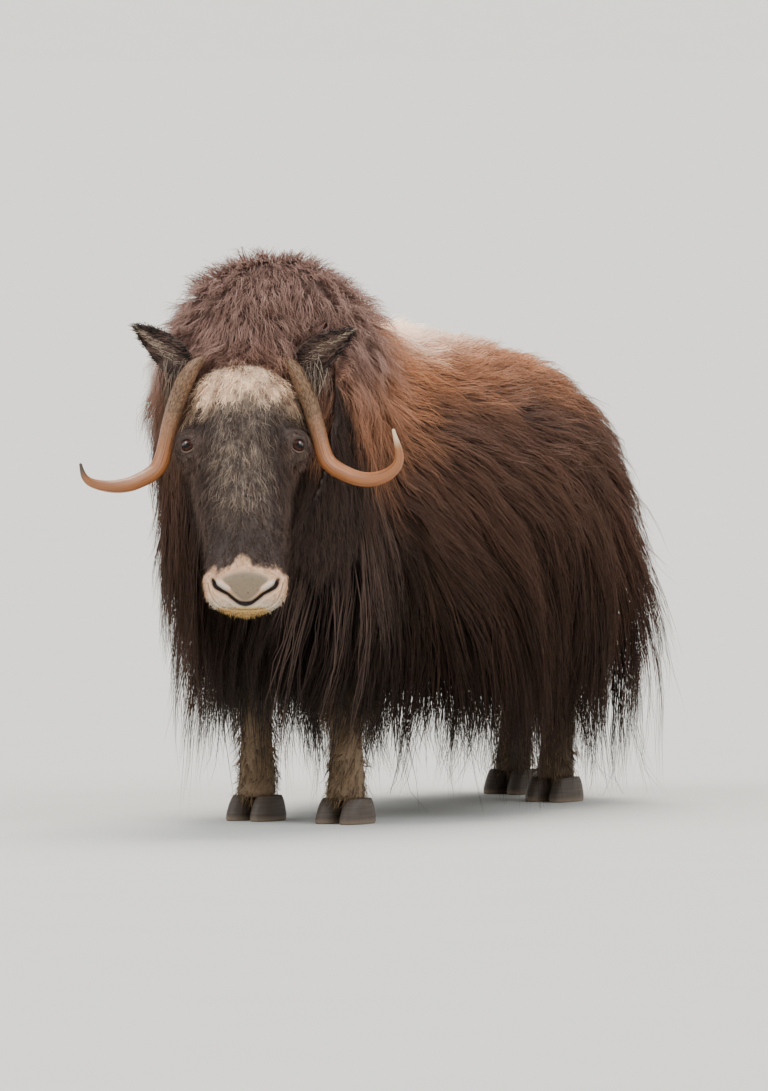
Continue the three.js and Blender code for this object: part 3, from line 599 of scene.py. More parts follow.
def ear(side):
    """One ear as a closed leaf."""
    inner, outer = ear_sheet(side, 1), ear_sheet(side, 0)
    rows, columns = inner.shape[:2]
    points = np.vstack([inner.reshape(-1, 3), outer.reshape(-1, 3)])
    faces, back = [], rows * columns
    for r in range(rows - 1):
        for c in range(columns - 1):
            a, e = r * columns + c, (r + 1) * columns + c
            faces += [(a, a + 1, e + 1, e), (back + e, back + e + 1, back + a + 1, back + a)]
        for c in (0, columns - 1):
            a, e = r * columns + c, (r + 1) * columns + c
            faces.append((a, e, back + e, back + a))
    for r in (0, rows - 1):
        for c in range(columns - 1):
            a = r * columns + c
            faces.append((a, a + 1, back + a + 1, back + a))
    return points, faces


body_points = positions(fused)
body_faces = [tuple(face.vertices) for face in fused.polygons]
parts = [(body_points, body_faces), lids(1), lids(-1), ear(1), ear(-1)]
skin = mesh_object("skin", *joined(parts))
lid_faces = 2 * LID_POINTS * (len(LID_ROUNDS) - 1)
face_outwards(skin.data, len(body_faces) + lid_faces)
print("skin with lids and ears:", len(skin.data.polygons), "faces")


# %% [markdown]
# Hair needs to know where the skin is. A tree of the skin's triangles answers, for any point, which spot
# of the skin is nearest and which way is out. The roots of the coat are spread over the same triangles,
# each as likely as its area.

# %% Ask the skin where it is
RANDOM = np.random.default_rng(62)
fused.calc_loop_triangles()
corners = np.empty(3 * len(fused.loop_triangles), np.int32)
fused.loop_triangles.foreach_get("vertices", corners)
corners = corners.reshape(-1, 3)
skin_tree = BVHTree.FromPolygons([tuple(p) for p in skin_points], plain_faces(corners))
triangle = skin_points[corners]
cross = np.cross(triangle[:, 1] - triangle[:, 0], triangle[:, 2] - triangle[:, 0])
areas, middles, face_normals = np.linalg.norm(cross, axis=1) / 2, triangle.mean(1), unit(cross)
print("skin area", round(float(areas.sum()), 2), "square metres")


def nearest_skin(points):
    """The nearest spots of the skin and the ways out of it there."""
    found = [skin_tree.find_nearest(Vector(p)) for p in points]
    return np.array([f[0][:] for f in found]), np.array([f[1][:] for f in found])


def roots_on(weights, count):
    """Places spread over the skin's triangles by weight, with the ways out."""
    share = areas * weights
    chosen = RANDOM.choice(len(share), count, p=share / share.sum())
    a, b = RANDOM.random((2, count, 1))
    flip = a + b > 1
    a, b = np.where(flip, 1 - a, a), np.where(flip, 1 - b, b)
    corner = triangle[chosen]
    spots = corner[:, 0] + (corner[:, 1] - corner[:, 0]) * a + (corner[:, 2] - corner[:, 0]) * b
    return spots, face_normals[chosen]


# %% [markdown]
# The lie of the coat is what makes a pelt look real. On the back the hair runs tailwards, on the flanks it
# turns down and back, and the long skirt hangs straight to a ragged hem. On the crest of the neck it parts
# to both sides and falls forward over the poll like a cap. On the face it runs down from the forehead and
# fans out to the cheeks. The way at a point is a blend of these, without any part that points into the
# skin.

# %% The lie of the coat
def part_weights(p):
    """How much each point belongs to the head, the neck and the legs; the rest is trunk."""
    _, along, back, ahead = head_places(p)
    behind_brow = along - 0.9 * (back - 0.035)
    head = ease(ahead, -0.085, -0.060) * ease(behind_brow, 0.000, 0.022) * (p[:, 1] < -0.55)
    neck = (1 - ease(p[:, 1] - 0.35 * (p[:, 2] - 0.8), -0.56, -0.40)) * (1 - head)
    legs = (1 - ease(p[:, 2], 0.37, 0.42)) * (1 - head) * (1 - neck)
    return head, neck, legs


def neck_middle(y):
    """Where the middle line of the neck is, across the body."""
    return np.interp(y, [-0.693, -0.59, -0.48, -0.33], [0.003, -0.034, -0.008, 0.0])


def rise_and_fall(value, start, top, end):
    """1 at the top, and 0 before start and after end."""
    return ease(value, start, top) * (1 - ease(value, top, end))


def elbow(p):
    """1 at the fluffed hair behind each elbow, fading to 0 round it."""
    far = ((p[:, 1] + 0.27) / 0.11) ** 2 + ((p[:, 2] - 0.49) / 0.12) ** 2
    return np.exp(-far) * ease(np.abs(p[:, 0]), 0.10, 0.20)


def on_tail(p):
    """1 on the short tail and behind it, and 0 elsewhere."""
    return ease(p[:, 1], 0.66, 0.72) * (1 - ease(np.abs(p[:, 0]), 0.05, 0.11))


def drift(p):
    """A slow wander of the lie, the same for neighbours, so that the coat isn't combed too straight."""
    x, y, z = p.T
    slow = [np.sin(7.1 * y + 3.3 * z + 1), np.sin(9.7 * z + 5.1 * x), 0.4 * np.sin(8.3 * x + 6.1 * y)]
    quick = [np.sin(31 * y + 9 * z), np.sin(27 * z + 13 * y + 2), 0.4 * np.sin(23 * x + 37 * y)]
    return 0.19 * np.stack(slow, 1) + 0.14 * np.stack(quick, 1)


def lie(p, n):
    """The way that hair lies at points p of the coat, where n is the way out of the skin."""
    across, _, back, ahead = head_places(p)
    head, neck, legs = part_weights(p)
    low = ease(-p[:, 2], -0.92, -0.42)
    rear = ease(p[:, 1], 0.42, 0.70)
    tailwards = blend(blend(1.0, 0.16, low), 0.02, rear) + 0.75 * elbow(p)
    trunk = np.stack([p[:, 0] * 0, tailwards, -blend(blend(0.50, 1.0, low), 1.0, rear)], 1)
    level = unit(np.stack([p[:, 0], p[:, 1] - np.clip(p[:, 1], -0.42, 0.46), p[:, 0] * 0], 1))
    thigh = 0.26 * rise_and_fall(p[:, 2], 0.34, 0.50, 0.66) - 0.10 * ease(-p[:, 2], -0.36, -0.22)
    thigh = ease(p[:, 1], 0.20, 0.44) * thigh
    chest = ease(-p[:, 1], 0.28, 0.46) * -0.24 * ease(-p[:, 2], -0.40, -0.26)
    thigh = thigh * (1 - 0.95 * on_tail(p))
    trunk = trunk + level * (thigh + chest)[:, None]
    side = np.tanh((p[:, 0] - neck_middle(p[:, 1])) / 0.11)
    crest = ease(n[:, 2], 0.15, 0.9)
    front = ease(ahead, -0.50, -0.22)
    falls = ease(-p[:, 2], -0.95, -0.75)
    sideways = LEFTWARDS * (side * blend(blend(0.22, -0.12, falls), 0.85, crest))[:, None]
    forwards = FORWARDS * (blend(-0.30, 0.85, front) * blend(0.25, 1.0, crest))[:, None]
    mane = sideways + forwards - UP * blend(1.0, 0.10, crest)[:, None]
    fan = np.clip(across / 0.10, -1.2, 1.2)
    face = DOWN_FACE + LEFTWARDS * (fan * 0.42)[:, None]
    cheek = DOWN_FACE * 0.75 + BEHIND_FACE * 0.62 - UP * 0.15
    jaw = -UP * 1.0 + BEHIND_FACE * 0.25
    face = blend(face, cheek, ease(back, 0.035, 0.10)[:, None])
    face = blend(face, jaw, ease(n @ BEHIND_FACE, 0.2, 0.8)[:, None])
    way = trunk * (1 - head - neck - legs)[:, None] + mane * neck[:, None]
    way = unit(way + face * head[:, None] - UP * legs[:, None])
    way = way + drift(p) * blend(0.85, 0.35, head)[:, None]
    inwards = np.minimum((way * n).sum(1), 0)
    return unit(way - n * inwards[:, None])


HEM_FRONT, HEM_REAR = 0.150, 0.062


def hem_at(y):
    """The height of the skirt's hem, which drops towards the tail."""
    return np.interp(y, [-0.60, 0.70], [HEM_FRONT, HEM_REAR])


def clear_of_eyes(p):
    """0 at the eyes, growing to 1 away from them."""
    return ease(from_pair(p, eye_centre), 0.020, 0.042)


def coat_length(p, n):
    """How long the hair is at each root, in metres."""
    _, along, back, ahead = head_places(p)
    head, neck, legs = part_weights(p)
    z, y = p[:, 2], p[:, 1]
    trunk = np.interp(z, [0.40, 0.60, 0.70, 0.80, 0.92, 1.08], [0.0, 0.43, 0.32, 0.19, 0.105, 0.085])
    trunk = np.where(z < 0.60, np.clip(z - hem_at(y), 0.22, 0.54) * 1.09, trunk)
    trunk *= blend(1.0, 0.8, ease(y, 0.55, 0.75) * ease(z, 0.6, 0.8))
    trunk *= blend(1.0, 0.60, on_tail(p))
    mane = np.interp(z, [0.52, 0.62, 0.75, 0.90, 1.0, 1.12], [0.38, 0.33, 0.25, 0.15, 0.090, 0.068])
    crest = ease(z, 0.88, 0.97) * ease(n[:, 2], -0.1, 0.4)
    mane = np.where(crest > 0.5, np.minimum(mane, 0.030 + 0.9 * np.maximum(0, -0.02 - ahead)), mane)
    ears = from_pair(p, lambda side: by_head(side * 0.150, -0.040, 0.0))
    mane *= blend(0.40, 1.0, ease(ears, 0.045, 0.100))
    face = np.interp(along, [0.0, 0.08, 0.13, 0.22, 0.32, 0.40, 0.44, 0.465],
                     [0.030, 0.028, 0.034, 0.042, 0.036, 0.025, 0.017, 0.0065])
    rear = np.interp(along, [0.0, 0.20, 0.34, 0.40, 0.44, 0.50], [0.06, 0.090, 0.060, 0.030, 0.012, 0.0064])
    face = blend(face, rear, ease(back, 0.05, 0.12)) * blend(0.46, 1.0, clear_of_eyes(p))
    leg = np.interp(z, [0.05, 0.12, 0.25, 0.42], [0.030, 0.036, 0.060, 0.110])
    return trunk * (1 - head - neck - legs) + mane * neck + face * head + leg * legs


def coat_depth(p, n):
    """How far above the skin the outer hair lies, in metres."""
    _, along, back, ahead = head_places(p)
    head, neck, legs = part_weights(p)
    up, under = ease(n[:, 2], 0.2, 0.9), ease(-n[:, 2], 0.2, 0.9)
    rear = ease(p[:, 1], 0.44, 0.68)
    trunk = 0.054 * blend(blend(1.0, 0.50, up), 0.5, under) * blend(1.0, 0.60, rear) + 0.022 * elbow(p)
    aside = blend(0.020, 0.052, ease(p[:, 2], 0.72, 0.95))
    hump = blend(0.040, 0.048, 1 - ease(p[:, 1], -0.42, -0.26))
    hump = hump * blend(0.72, 1.30, ease(np.abs(p[:, 0] - neck_middle(p[:, 1])), 0.02, 0.17))
    cap = hump * blend(0.50, 1.0, ease(-ahead, 0.06, 0.16))
    mane = blend(aside, cap, up)
    face = blend(0.009, 0.022, ease(back, 0.05, 0.12)) * blend(1, 0.25, ease(along, 0.38, 0.46))
    face = face + 0.004 * (1 - ease(along, 0.0, 0.10))
    face = face * blend(0.48, 1.0, clear_of_eyes(p))
    leg = 0.012 + 0.034 * ease(p[:, 2], 0.12, 0.32)
    return trunk * (1 - head - neck - legs) + mane * neck + face * head + leg * legs


def combed(roots, normals, lengths, depths, steps, rise, stiffness=0.45):
    """The paths of guide hairs, which rise from the skin and then follow the lie of the coat."""
    path, place = [roots], roots
    way = unit(normals * rise + lie(roots, normals))
    for step in range(steps):
        share = (step + 1) / steps
        ahead = lie(place, nearest_skin(place)[1])
        way = unit(way * stiffness + ahead * (1 - stiffness))
        place = place + way * (lengths / steps)[:, None]
        spot, out = nearest_skin(place)
        height = ((place - spot) * out).sum(1)
        goal = depths * np.minimum(1, share * 2.2) * (1 - 0.18 * share)
        over = np.clip(height - goal, 0, 0.05) * ease(place[:, 2], 0.55, 0.75)
        place = place + out * (np.maximum(goal - height, 0) - over * 0.35)[:, None]
        path.append(place)
    return np.stack(path, 1)


# %% [markdown]
# Hair doesn't run through an ear or a horn, and the mane ends in a soft edge at the top of the forehead. So
# each guide is followed to the first spot that it may not enter, and its locks end there.

# %% Where hair has to stop
HORNS = {1: (0.322, 0.247, 0.104, 0.012), -1: (0.324, 0.261, 0.048, -0.008)}
HORN_HALVES = [(0, 0.005, 0.010), (0.05, 0.013, 0.021), (0.14, 0.0195, 0.031), (0.3, 0.0190, 0.027),
               (0.5, 0.0185, 0.020), (0.75, 0.0155, 0.0155), (0.92, 0.0088, 0.0088), (1, 0.0028, 0.0028)]


def horn_path(side, count):
    """Points down the middle of a horn, evenly spaced."""
    reach, drop, hook, tip_in = HORNS[side]
    places = [
        (0.080, -0.058, -0.002), (0.102, -0.030, -0.018), (0.122, -0.015, -0.052), (0.139, -0.010, -0.096),
        (0.150, -0.004, -0.136), (0.172, 0.022, -drop * 0.84), (reach * 0.67, 0.062, -drop + 0.009),
        (reach * 0.81, 0.098, -drop), (reach * 0.94, 0.128, -drop + hook * 0.14),
        (reach, 0.146, -drop + hook * 0.45), (reach - tip_in, 0.156, -drop + hook),
    ]
    points = drawn_out([by_head(side * a, b, c) for a, b, c in places], 240)
    run = np.append(0, np.cumsum(np.linalg.norm(np.diff(points, axis=0), axis=1)))
    at = np.linspace(0, run[-1], count)
    return np.stack([np.interp(at, run, points[:, k]) for k in range(3)], 1)


def clear_of_horns(p):
    """False where a horn stands on the skin."""
    clear = np.ones(len(p), bool)
    for side in (-1, 1):
        for spot in horn_path(side, 24)[4:9]:
            clear &= np.linalg.norm(p - spot, axis=1) > 0.019
    return clear


def in_the_way(p, from_mane):
    """True where a horn or an ear stands, or where hair of the mane would fall over the forehead."""
    found = np.zeros(len(p), bool)
    for side in (-1, 1):
        found |= np.linalg.norm(p - eye_centre(side) - eye_out(side) * 0.016, axis=1) < 0.0165
        horn_line = horn_path(side, 30)[6:]
        reach = np.interp(np.linspace(0.20, 1, 24), [0.20, 0.27, 0.5, 1], [0.008, 0.018, 0.017, 0.006])
        for spot, far in zip(horn_line, reach):
            found |= np.linalg.norm(p - spot, axis=1) < far
        root, long, wide, opens = ear_frame(side)
        away = p - root
        down = away @ long
        beside = np.hypot(away @ wide, np.clip(away @ opens, -9, 0))
        found |= (down > 0.026) & (down < EAR_LENGTH + 0.012) & (beside < 0.046) & (away @ opens < 0.16)
    across, _, _, ahead = head_places(p)
    if from_mane:
        low = p[:, 2] < 0.962 + 0.007 * np.sin(61 * across) - 2.2 * across**2
        found |= (ahead > -0.075) & (np.abs(across) < 0.10) & low
    return found


def allowed(guides, from_mane):
    """The share of each guide that lies before the first place where hair may not be."""
    steps = guides.shape[1] - 1
    limit = np.ones(len(guides))
    for k in range(steps, 0, -1):
        blocked = in_the_way(guides[:, k], from_mane)
        limit = np.where(blocked, (k - 0.6) / steps, limit)
    return limit * RANDOM.uniform(0.85, 1.05, len(limit)).clip(0, 1)


# %% [markdown]
# A lock is a slim three-sided blade that tapers to a point. Hair isn't laid one by one: a few thousand
# guides are combed, every lock follows its nearest guide from its own root, and locks of one guide draw
# together towards the tip, which gives the strands and partings of a real coat. Each lock keeps the place
# of its root, so that its colour is that of the skin it grows from.

# %% Locks from guides
def locks_from(roots, guides, limit, spec, rings):
    """The paths of locks: each follows its nearest guide, at its own length and with its own waves."""
    count, guide_roots = len(roots), guides[:, 0]
    tree = KDTree(len(guide_roots))
    for k, root in enumerate(guide_roots):
        tree.insert(root, k)
    tree.balance()
    owner = np.array([tree.find(root)[1] for root in roots])
    length = np.clip(RANDOM.normal(0.90, spec["ragged"], count), 0.35, 1.12) * limit[owner]
    whole = np.linalg.norm(np.diff(guides, axis=1), axis=2).sum(1)
    stray = np.clip(whole[owner] / 0.030, 0.10, 1)[:, None]
    share = np.linspace(0, 1, rings)
    at = share[None] * length[:, None] * (guides.shape[1] - 1)
    low = np.clip(at.astype(int), 0, guides.shape[1] - 2)
    part = (at - low)[..., None]
    followed = guides[owner[:, None], low] * (1 - part) + guides[owner[:, None], low + 1] * part
    draw = 1 - spec["clump"] * ease(share, 0.0, 1.0)
    path = followed + (roots - guide_roots[owner])[:, None] * draw[None, :, None]
    loose = RANDOM.normal(0, 1, (count, 3)).clip(-1.5, 1.5) * spec["loose"] * stray
    loose *= np.where(RANDOM.random(count) < 0.05, 1.8, 1.0)[:, None]
    path += loose[:, None] * (share**1.4)[None, :, None]
    for _ in range(2):
        wave = RANDOM.random((count, 1)) * 6.28 + share[None] * 6.28 * RANDOM.uniform(0.7, 2.1, (count, 1))
        aside = unit(RANDOM.normal(0, 1, (count, 3))) * spec["wave"] * stray
        path += aside[:, None] * (np.sin(wave) * share[None] ** 0.8)[..., None]
    path += (roots - path[:, 0])[:, None]
    return path, owner


def lock_mesh(name, path, normals, widths, tones, places):
    """One object of many locks. Places are the spots of their roots on the unwrapped skin."""
    count, rings = path.shape[:2]
    way = unit(np.gradient(path, axis=1))
    side = unit(np.cross(way, normals[:, None]))
    out = np.cross(side, way)
    share = np.linspace(0, 1, rings)
    taper = np.clip(1.08 - share, 0, 1) ** 0.85 * (0.7 + 0.3 * ease(share, 0, 0.2))
    half = (widths[:, None] * taper[None])[..., None] / 2
    left, right, ridge = path - side * half, path + side * half, path + out * half * 0.9
    tip = path[:, -1] + way[:, -1] * widths[:, None] * 2
    body = np.stack([left[:, :-1], right[:, :-1], ridge[:, :-1]], 2).reshape(count, -1, 3)
    points = np.concatenate([body, tip[:, None]], 1)
    each = points.shape[1]
    quads = []
    for r in range(rings - 2):
        for a, b in ((0, 1), (1, 2), (2, 0)):
            quads.append((3 * r + b, 3 * r + a, 3 * r + 3 + a, 3 * r + 3 + b))
    last = 3 * (rings - 2)
    tris = [(last + b, last + a, each - 1) for a, b in ((0, 1), (1, 2), (2, 0))] + [(0, 1, 2)]
    start = (np.arange(count) * each)[:, None, None]
    quads = (np.array(quads)[None] + start).reshape(-1, 4)
    tris = (np.array(tris)[None] + start).reshape(-1, 3)
    loops = np.concatenate([quads.ravel(), tris.ravel()]).astype(np.int32)
    sizes = np.concatenate([np.full(len(quads), 4), np.full(len(tris), 3)])
    mesh = bpy.data.meshes.new(name)
    mesh.vertices.add(count * each)
    mesh.vertices.foreach_set("co", points.astype(np.float32).ravel())
    mesh.loops.add(len(loops))
    mesh.loops.foreach_set("vertex_index", loops)
    mesh.polygons.add(len(sizes))
    mesh.polygons.foreach_set("loop_start", np.concatenate([[0], np.cumsum(sizes)[:-1]]).astype(np.int32))
    mesh.update(calc_edges=True)
    along = np.append(np.repeat(share[:-1], 3), 1.0)
    over = np.append(np.tile([0.0, 1.0, 0.5], rings - 1), 0.5)
    fibre = np.empty((count, each, 3), np.float32)
    fibre[..., 0], fibre[..., 1], fibre[..., 2] = over, along, tones[:, None]
    root = np.repeat(path[:, :1], each, 1)
    write_attribute(mesh, "fibre", fibre)
    write_attribute(mesh, "root", root)
    patch = (np.stack([fibre[..., 0], fibre[..., 1]], -1) - 0.5) * 0.003 + places[:, None]
    mesh.uv_layers.new(name="OFBake")
    mesh.uv_layers["OFBake"].data.foreach_set("uv", patch.reshape(-1, 2)[loops].astype(np.float32).ravel())
    print(name, count, "locks,", count * (6 * (rings - 2) + 4), "triangles")
    return placed(name, mesh)


# %% [markdown]
# Each lock is given a small patch of a picture, at the place of its root on an unwrap of the skin, where its
# colour can be baked. The skin has too many faces to unwrap quickly, so a lighter copy of the same shape is
# unwrapped, and each root takes its place from the nearest triangle of that copy.

# %% Unwrap a light copy of the skin
light = mesh_object("light_skin", skin_points, body_faces)
light_mesh = with_modifiers(light, ("DECIMATE", {"ratio": 0.07}), ("TRIANGULATE", {}))
light.data = light_mesh
bpy.context.view_layer.objects.active = light
light.select_set(True)
bpy.ops.object.mode_set(mode="EDIT")
bpy.ops.mesh.select_all(action="SELECT")
bpy.ops.uv.smart_project(angle_limit=math.radians(62), island_margin=0.003)
bpy.ops.object.mode_set(mode="OBJECT")
light_points = positions(light.data)
light_faces = np.array([tuple(face.vertices) for face in light.data.polygons])
light_uv = np.array([tuple(d.uv) for d in light.data.uv_layers.active.data]).reshape(-1, 3, 2)
light_tree = BVHTree.FromPolygons([tuple(p) for p in light_points], plain_faces(light_faces))
bpy.data.objects.remove(light)
print("unwrapped", len(light_faces), "triangles")


def unwrapped(points):
    """The places of these points on the unwrapped skin."""
    found = [light_tree.find_nearest(Vector(p)) for p in points]
    face = np.array([f[2] for f in found])
    spot = np.array([f[0][:] for f in found])
    a, b, c = (light_points[light_faces[face, k]] for k in range(3))
    whole = np.cross(b - a, c - a)
    size = np.maximum((whole**2).sum(1), 1e-18)
    wb = (np.cross(spot - a, c - a) * whole).sum(1) / size
    wc = (np.cross(b - a, spot - a) * whole).sum(1) / size
    weights = np.stack([1 - wb - wc, wb, wc], 1)
    return (light_uv[face] * weights[..., None]).sum(1)


# %% [markdown]
# The coat is grown zone by zone, because a back needs short stiff locks and a skirt long hanging ones. In
# each zone the length, width, clumping and raggedness are set, guides are combed, and locks are laid.

# %% Grow the coat
head_w, neck_w, leg_w = part_weights(middles)
trunk_w = (head_w < 0.5) & (neck_w < 0.5) & (leg_w < 0.5)
on_neck = (neck_w >= 0.5) & (head_w < 0.5)
height = middles[:, 2]
belly = np.where((face_normals[:, 2] < -0.75) & (np.abs(middles[:, 0]) < 0.14), 0.25, 1.0)
bare = np.max(nose_marks(middles), axis=0)
down_face = head_places(middles)[1]
haired = (1 - ease(bare, 0.05, 0.25)) * ((from_nostril(middles) > 0.011) | (down_face < 0.4))
haired = haired * clear_of_horns(middles)
open_eye = from_pair(middles, lambda side: eye_centre(side) + eye_out(side) * 0.012)
face_density = haired * ease(open_eye, 0.014, 0.0175) * (1 + 1.6 * ease(down_face, 0.42, 0.48))

ZONES = {
    "back": dict(on=trunk_w & (height >= 0.80), count=10400, rings=5, width=0.0020, clump=0.12, ragged=0.16,
                 loose=0.006, wave=0.0034, rise=0.36, pieces=2, slot="coat"),
    "flank": dict(on=trunk_w & (height < 0.80) & (height >= 0.60), count=9200, rings=6, width=0.0025,
                  clump=0.24, ragged=0.20, loose=0.014, wave=0.0110, rise=0.66, pieces=2, slot="coat"),
    "skirt": dict(on=(trunk_w & (height < 0.60)) * belly, count=9300, rings=7, width=0.0034, clump=0.36,
                  ragged=0.11, loose=0.015, wave=0.0120, rise=0.75, pieces=3, slot="coat"),
    "crest": dict(on=on_neck & (height >= 0.84), count=14500, rings=4, width=0.0016, clump=0.04,
                  ragged=0.16, loose=0.007, wave=0.0046, rise=0.35, pieces=2, slot="mane"),
    "mane": dict(on=on_neck & (height < 0.84), count=4800, rings=6, width=0.0030, clump=0.22,
                 ragged=0.16, loose=0.010, wave=0.0060, rise=0.50, pieces=1, slot="mane"),
    "face": dict(on=(head_w >= 0.5) * face_density, count=14000, rings=4, width=0.0014, clump=0.26,
                 ragged=0.20, loose=0.0045, wave=0.0044, rise=0.75, pieces=2, slot="face"),
    "legs": dict(on=leg_w >= 0.5, count=4400, rings=4, width=0.0024, clump=0.30, ragged=0.18,
                 loose=0.0060, wave=0.0028, rise=0.85, pieces=1, slot="stocking"),
}

# How the locks of one wisp differ: little in sleek hair, more in the wool of the crest
SLEEK = dict(clump=0.26, loose=0.006, wave=0.0036, ragged=0.15)
WOOLLY = dict(clump=0.10, loose=0.007, wave=0.0050, ragged=0.18)
CREST_TONE, CREST_CONTRAST = 0.52, 0.55
GUIDE_STEPS = 9
OUTLINE_SIDE, OUTLINE_REAR, OUTLINE_TOP, LOWEST_HAIR = 0.335, 0.790, 1.190, 0.012
coat_pieces = []


def held(path):
    """The same paths, drawn in softly where stray hair would stick out past the animal's outline."""
    over = np.maximum(np.abs(path[..., 0]) - OUTLINE_SIDE, 0)
    path[..., 0] -= np.sign(path[..., 0]) * (over - 0.025 * np.tanh(over / 0.025))
    over = np.maximum(path[..., 1] - OUTLINE_REAR, 0)
    path[..., 1] -= over - 0.030 * np.tanh(over / 0.030)
    over = np.maximum(path[..., 2] - OUTLINE_TOP, 0)
    path[..., 2] -= over - 0.020 * np.tanh(over / 0.020)
    path[..., 2] = np.maximum(path[..., 2], LOWEST_HAIR)
    return path


def cut_back(path):
    """The same paths, each ended before a horn, an ear or an eye that stands in its way."""
    count, rings = path.shape[:2]
    blocked = in_the_way(path[:, 1:].reshape(-1, 3), False).reshape(count, -1)
    last = np.where(blocked.any(1), blocked.argmax(1) + 0.35, rings - 1.0)
    at = np.linspace(0, 1, rings)[None] * last[:, None]
    low = np.clip(at.astype(int), 0, rings - 2)
    part = (at - low)[..., None]
    row = np.arange(count)[:, None]
    return path[row, low] * (1 - part) + path[row, low + 1] * part


def grown(name, spec):
    """The locks of one zone, in a few pieces from nose to tail. Short hair has more guides."""
    per_guide, per_wisp = (9, 3) if name in ("face", "legs") else (16, 5)
    of_neck = name in ("mane", "crest")
    fine = WOOLLY if name == "crest" else SLEEK
    weights = np.asarray(spec["on"], float)
    guide_roots, guide_normals = roots_on(weights, spec["count"] // per_guide)
    layer = RANDOM.random(len(guide_roots)) ** 0.7
    lengths = coat_length(guide_roots, guide_normals) * RANDOM.normal(1, 0.09, len(layer)).clip(0.75, 1.2)
    depths = coat_depth(guide_roots, guide_normals) * (0.18 + 0.82 * layer)
    guides = combed(guide_roots, guide_normals, lengths, depths, GUIDE_STEPS, spec["rise"])
    limit = allowed(guides, of_neck)
    wisp_roots, _ = roots_on(weights, spec["count"] // per_wisp)
    wisps, of_guide = locks_from(wisp_roots, guides, limit, spec, GUIDE_STEPS)
    roots, normals = roots_on(weights, spec["count"])
    path, of_wisp = locks_from(roots, wisps, np.ones(len(wisps)), {**spec, **fine}, spec["rings"])
    path = cut_back(held(path))
    # Deeper guides give their locks a lower tone and so a darker colour: painted shade inside the coat,
    # mixed with tone that differs at random.
    outer = 0.35 * layer[of_guide] + 0.65 * RANDOM.random(len(wisps))
    tones = np.clip(0.62 * outer[of_wisp] + 0.38 * RANDOM.random(len(roots)), 0, 1)
    if name == "crest":
        tones = blend(CREST_TONE, tones, CREST_CONTRAST)
    widths = spec["width"] * RANDOM.uniform(0.65, 1.25, len(roots))
    places = unwrapped(roots)
    order = np.array_split(np.argsort(roots[:, 1], kind="stable"), spec["pieces"])
    for k, some in enumerate(order):
        label = f"{name}_hair" if spec["pieces"] == 1 else f"{name}_hair_{k + 1}"
        piece = lock_mesh(label, path[some], normals[some], widths[some], tones[some], places[some])
        coat_pieces.append((piece, spec["slot"]))


for name, spec in ZONES.items():
    grown(name, spec)


# %% [markdown]
# The ears carry their own hair: dark and short outside, with long pale hairs that spring from inside the
# cup, and a whitish tuft hangs below each ear. These locks start on the ear's own sheet of points.

# %% Hair of the ears
HAIR_SHARE = np.linspace(0, 1, 5)


def ear_fur(side, inwards, count, length, tone):
    """Short hair on the outer face of an ear, or the longer hair inside it: paths, ways out and tones."""
    _, long, wide, opens = ear_frame(side)
    grid = ear_sheet(side, inwards)
    row = RANDOM.integers(2, grid.shape[0] - 1, count)
    column = RANDOM.integers(0, grid.shape[1], count)
    start = grid[row, column] + RANDOM.normal(0, 0.0015, (count, 3))
    edge = (column / (grid.shape[1] - 1) * 2 - 1)[:, None]
    face = opens * (1 if inwards else -1)
    way = unit(long * 0.9 + wide * edge * (-0.35 if inwards else 0.35) + face * 0.32)
    way = unit(way + RANDOM.normal(0, 0.16, (count, 3)))
    reach = (length * RANDOM.uniform(0.5, 1.15, count))[:, None, None]
    bend = way[:, None] * HAIR_SHARE[None, :, None] - UP * (0.22 * HAIR_SHARE**2)[None, :, None]
    rim = np.clip(np.abs(edge[:, 0] - 0.1) - 0.16, 0, 1) * 2.2 * inwards
    tones = np.full(count, tone) - rim + RANDOM.uniform(-0.15, 0.15, count)
    return start[:, None] + bend * reach, np.repeat(face[None], count, 0), tones


def ear_tuft(side, count=90):
    """The whitish tuft below an ear: paths, ways out and tones."""
    root, long, wide, _ = ear_frame(side)
    start = root - UP * RANDOM.uniform(0.005, 0.040, count)[:, None]
    start = start + wide * RANDOM.normal(0, 0.014, count)[:, None]
    start = start + FORWARDS * RANDOM.uniform(0.0, 0.030, count)[:, None]
    start = start + long * RANDOM.uniform(0.02, 0.07, count)[:, None]
    way = unit(-UP + long * 0.30 + RANDOM.normal(0, 0.16, (count, 3)))
    reach = RANDOM.uniform(0.035, 0.070, count)[:, None, None]
    curve = way[:, None] * HAIR_SHARE[None, :, None] - long * (0.35 * HAIR_SHARE**2)[None, :, None]
    outs = np.repeat(unit(FORWARDS + long)[None], count, 0)
    return start[:, None] + curve * reach, outs, RANDOM.uniform(0.30, 0.72, count)


EAR_FUR = [(0, 520, 0.007, 0.14), (1, 400, 0.017, 0.80)]  # face, locks, length, tone
tufts = []
for side in (-1, 1):
    tufts += [ear_fur(side, *row) for row in EAR_FUR]
    tufts.append(ear_tuft(side))
ear_paths, ear_outs, ear_tones = (np.concatenate(values) for values in zip(*tufts))
ear_hair = lock_mesh("ear_hair", ear_paths, ear_outs, np.full(len(ear_paths), 0.0017), ear_tones,
                     unwrapped(ear_paths[:, 0]))


# %% [markdown]
# A finish is a small tree of shader nodes. This class wraps a socket, so that sums on sockets read as plain
# sums, and each step adds its own Math node. Colours are mixed by their own node, as a Math node would turn
# them grey.

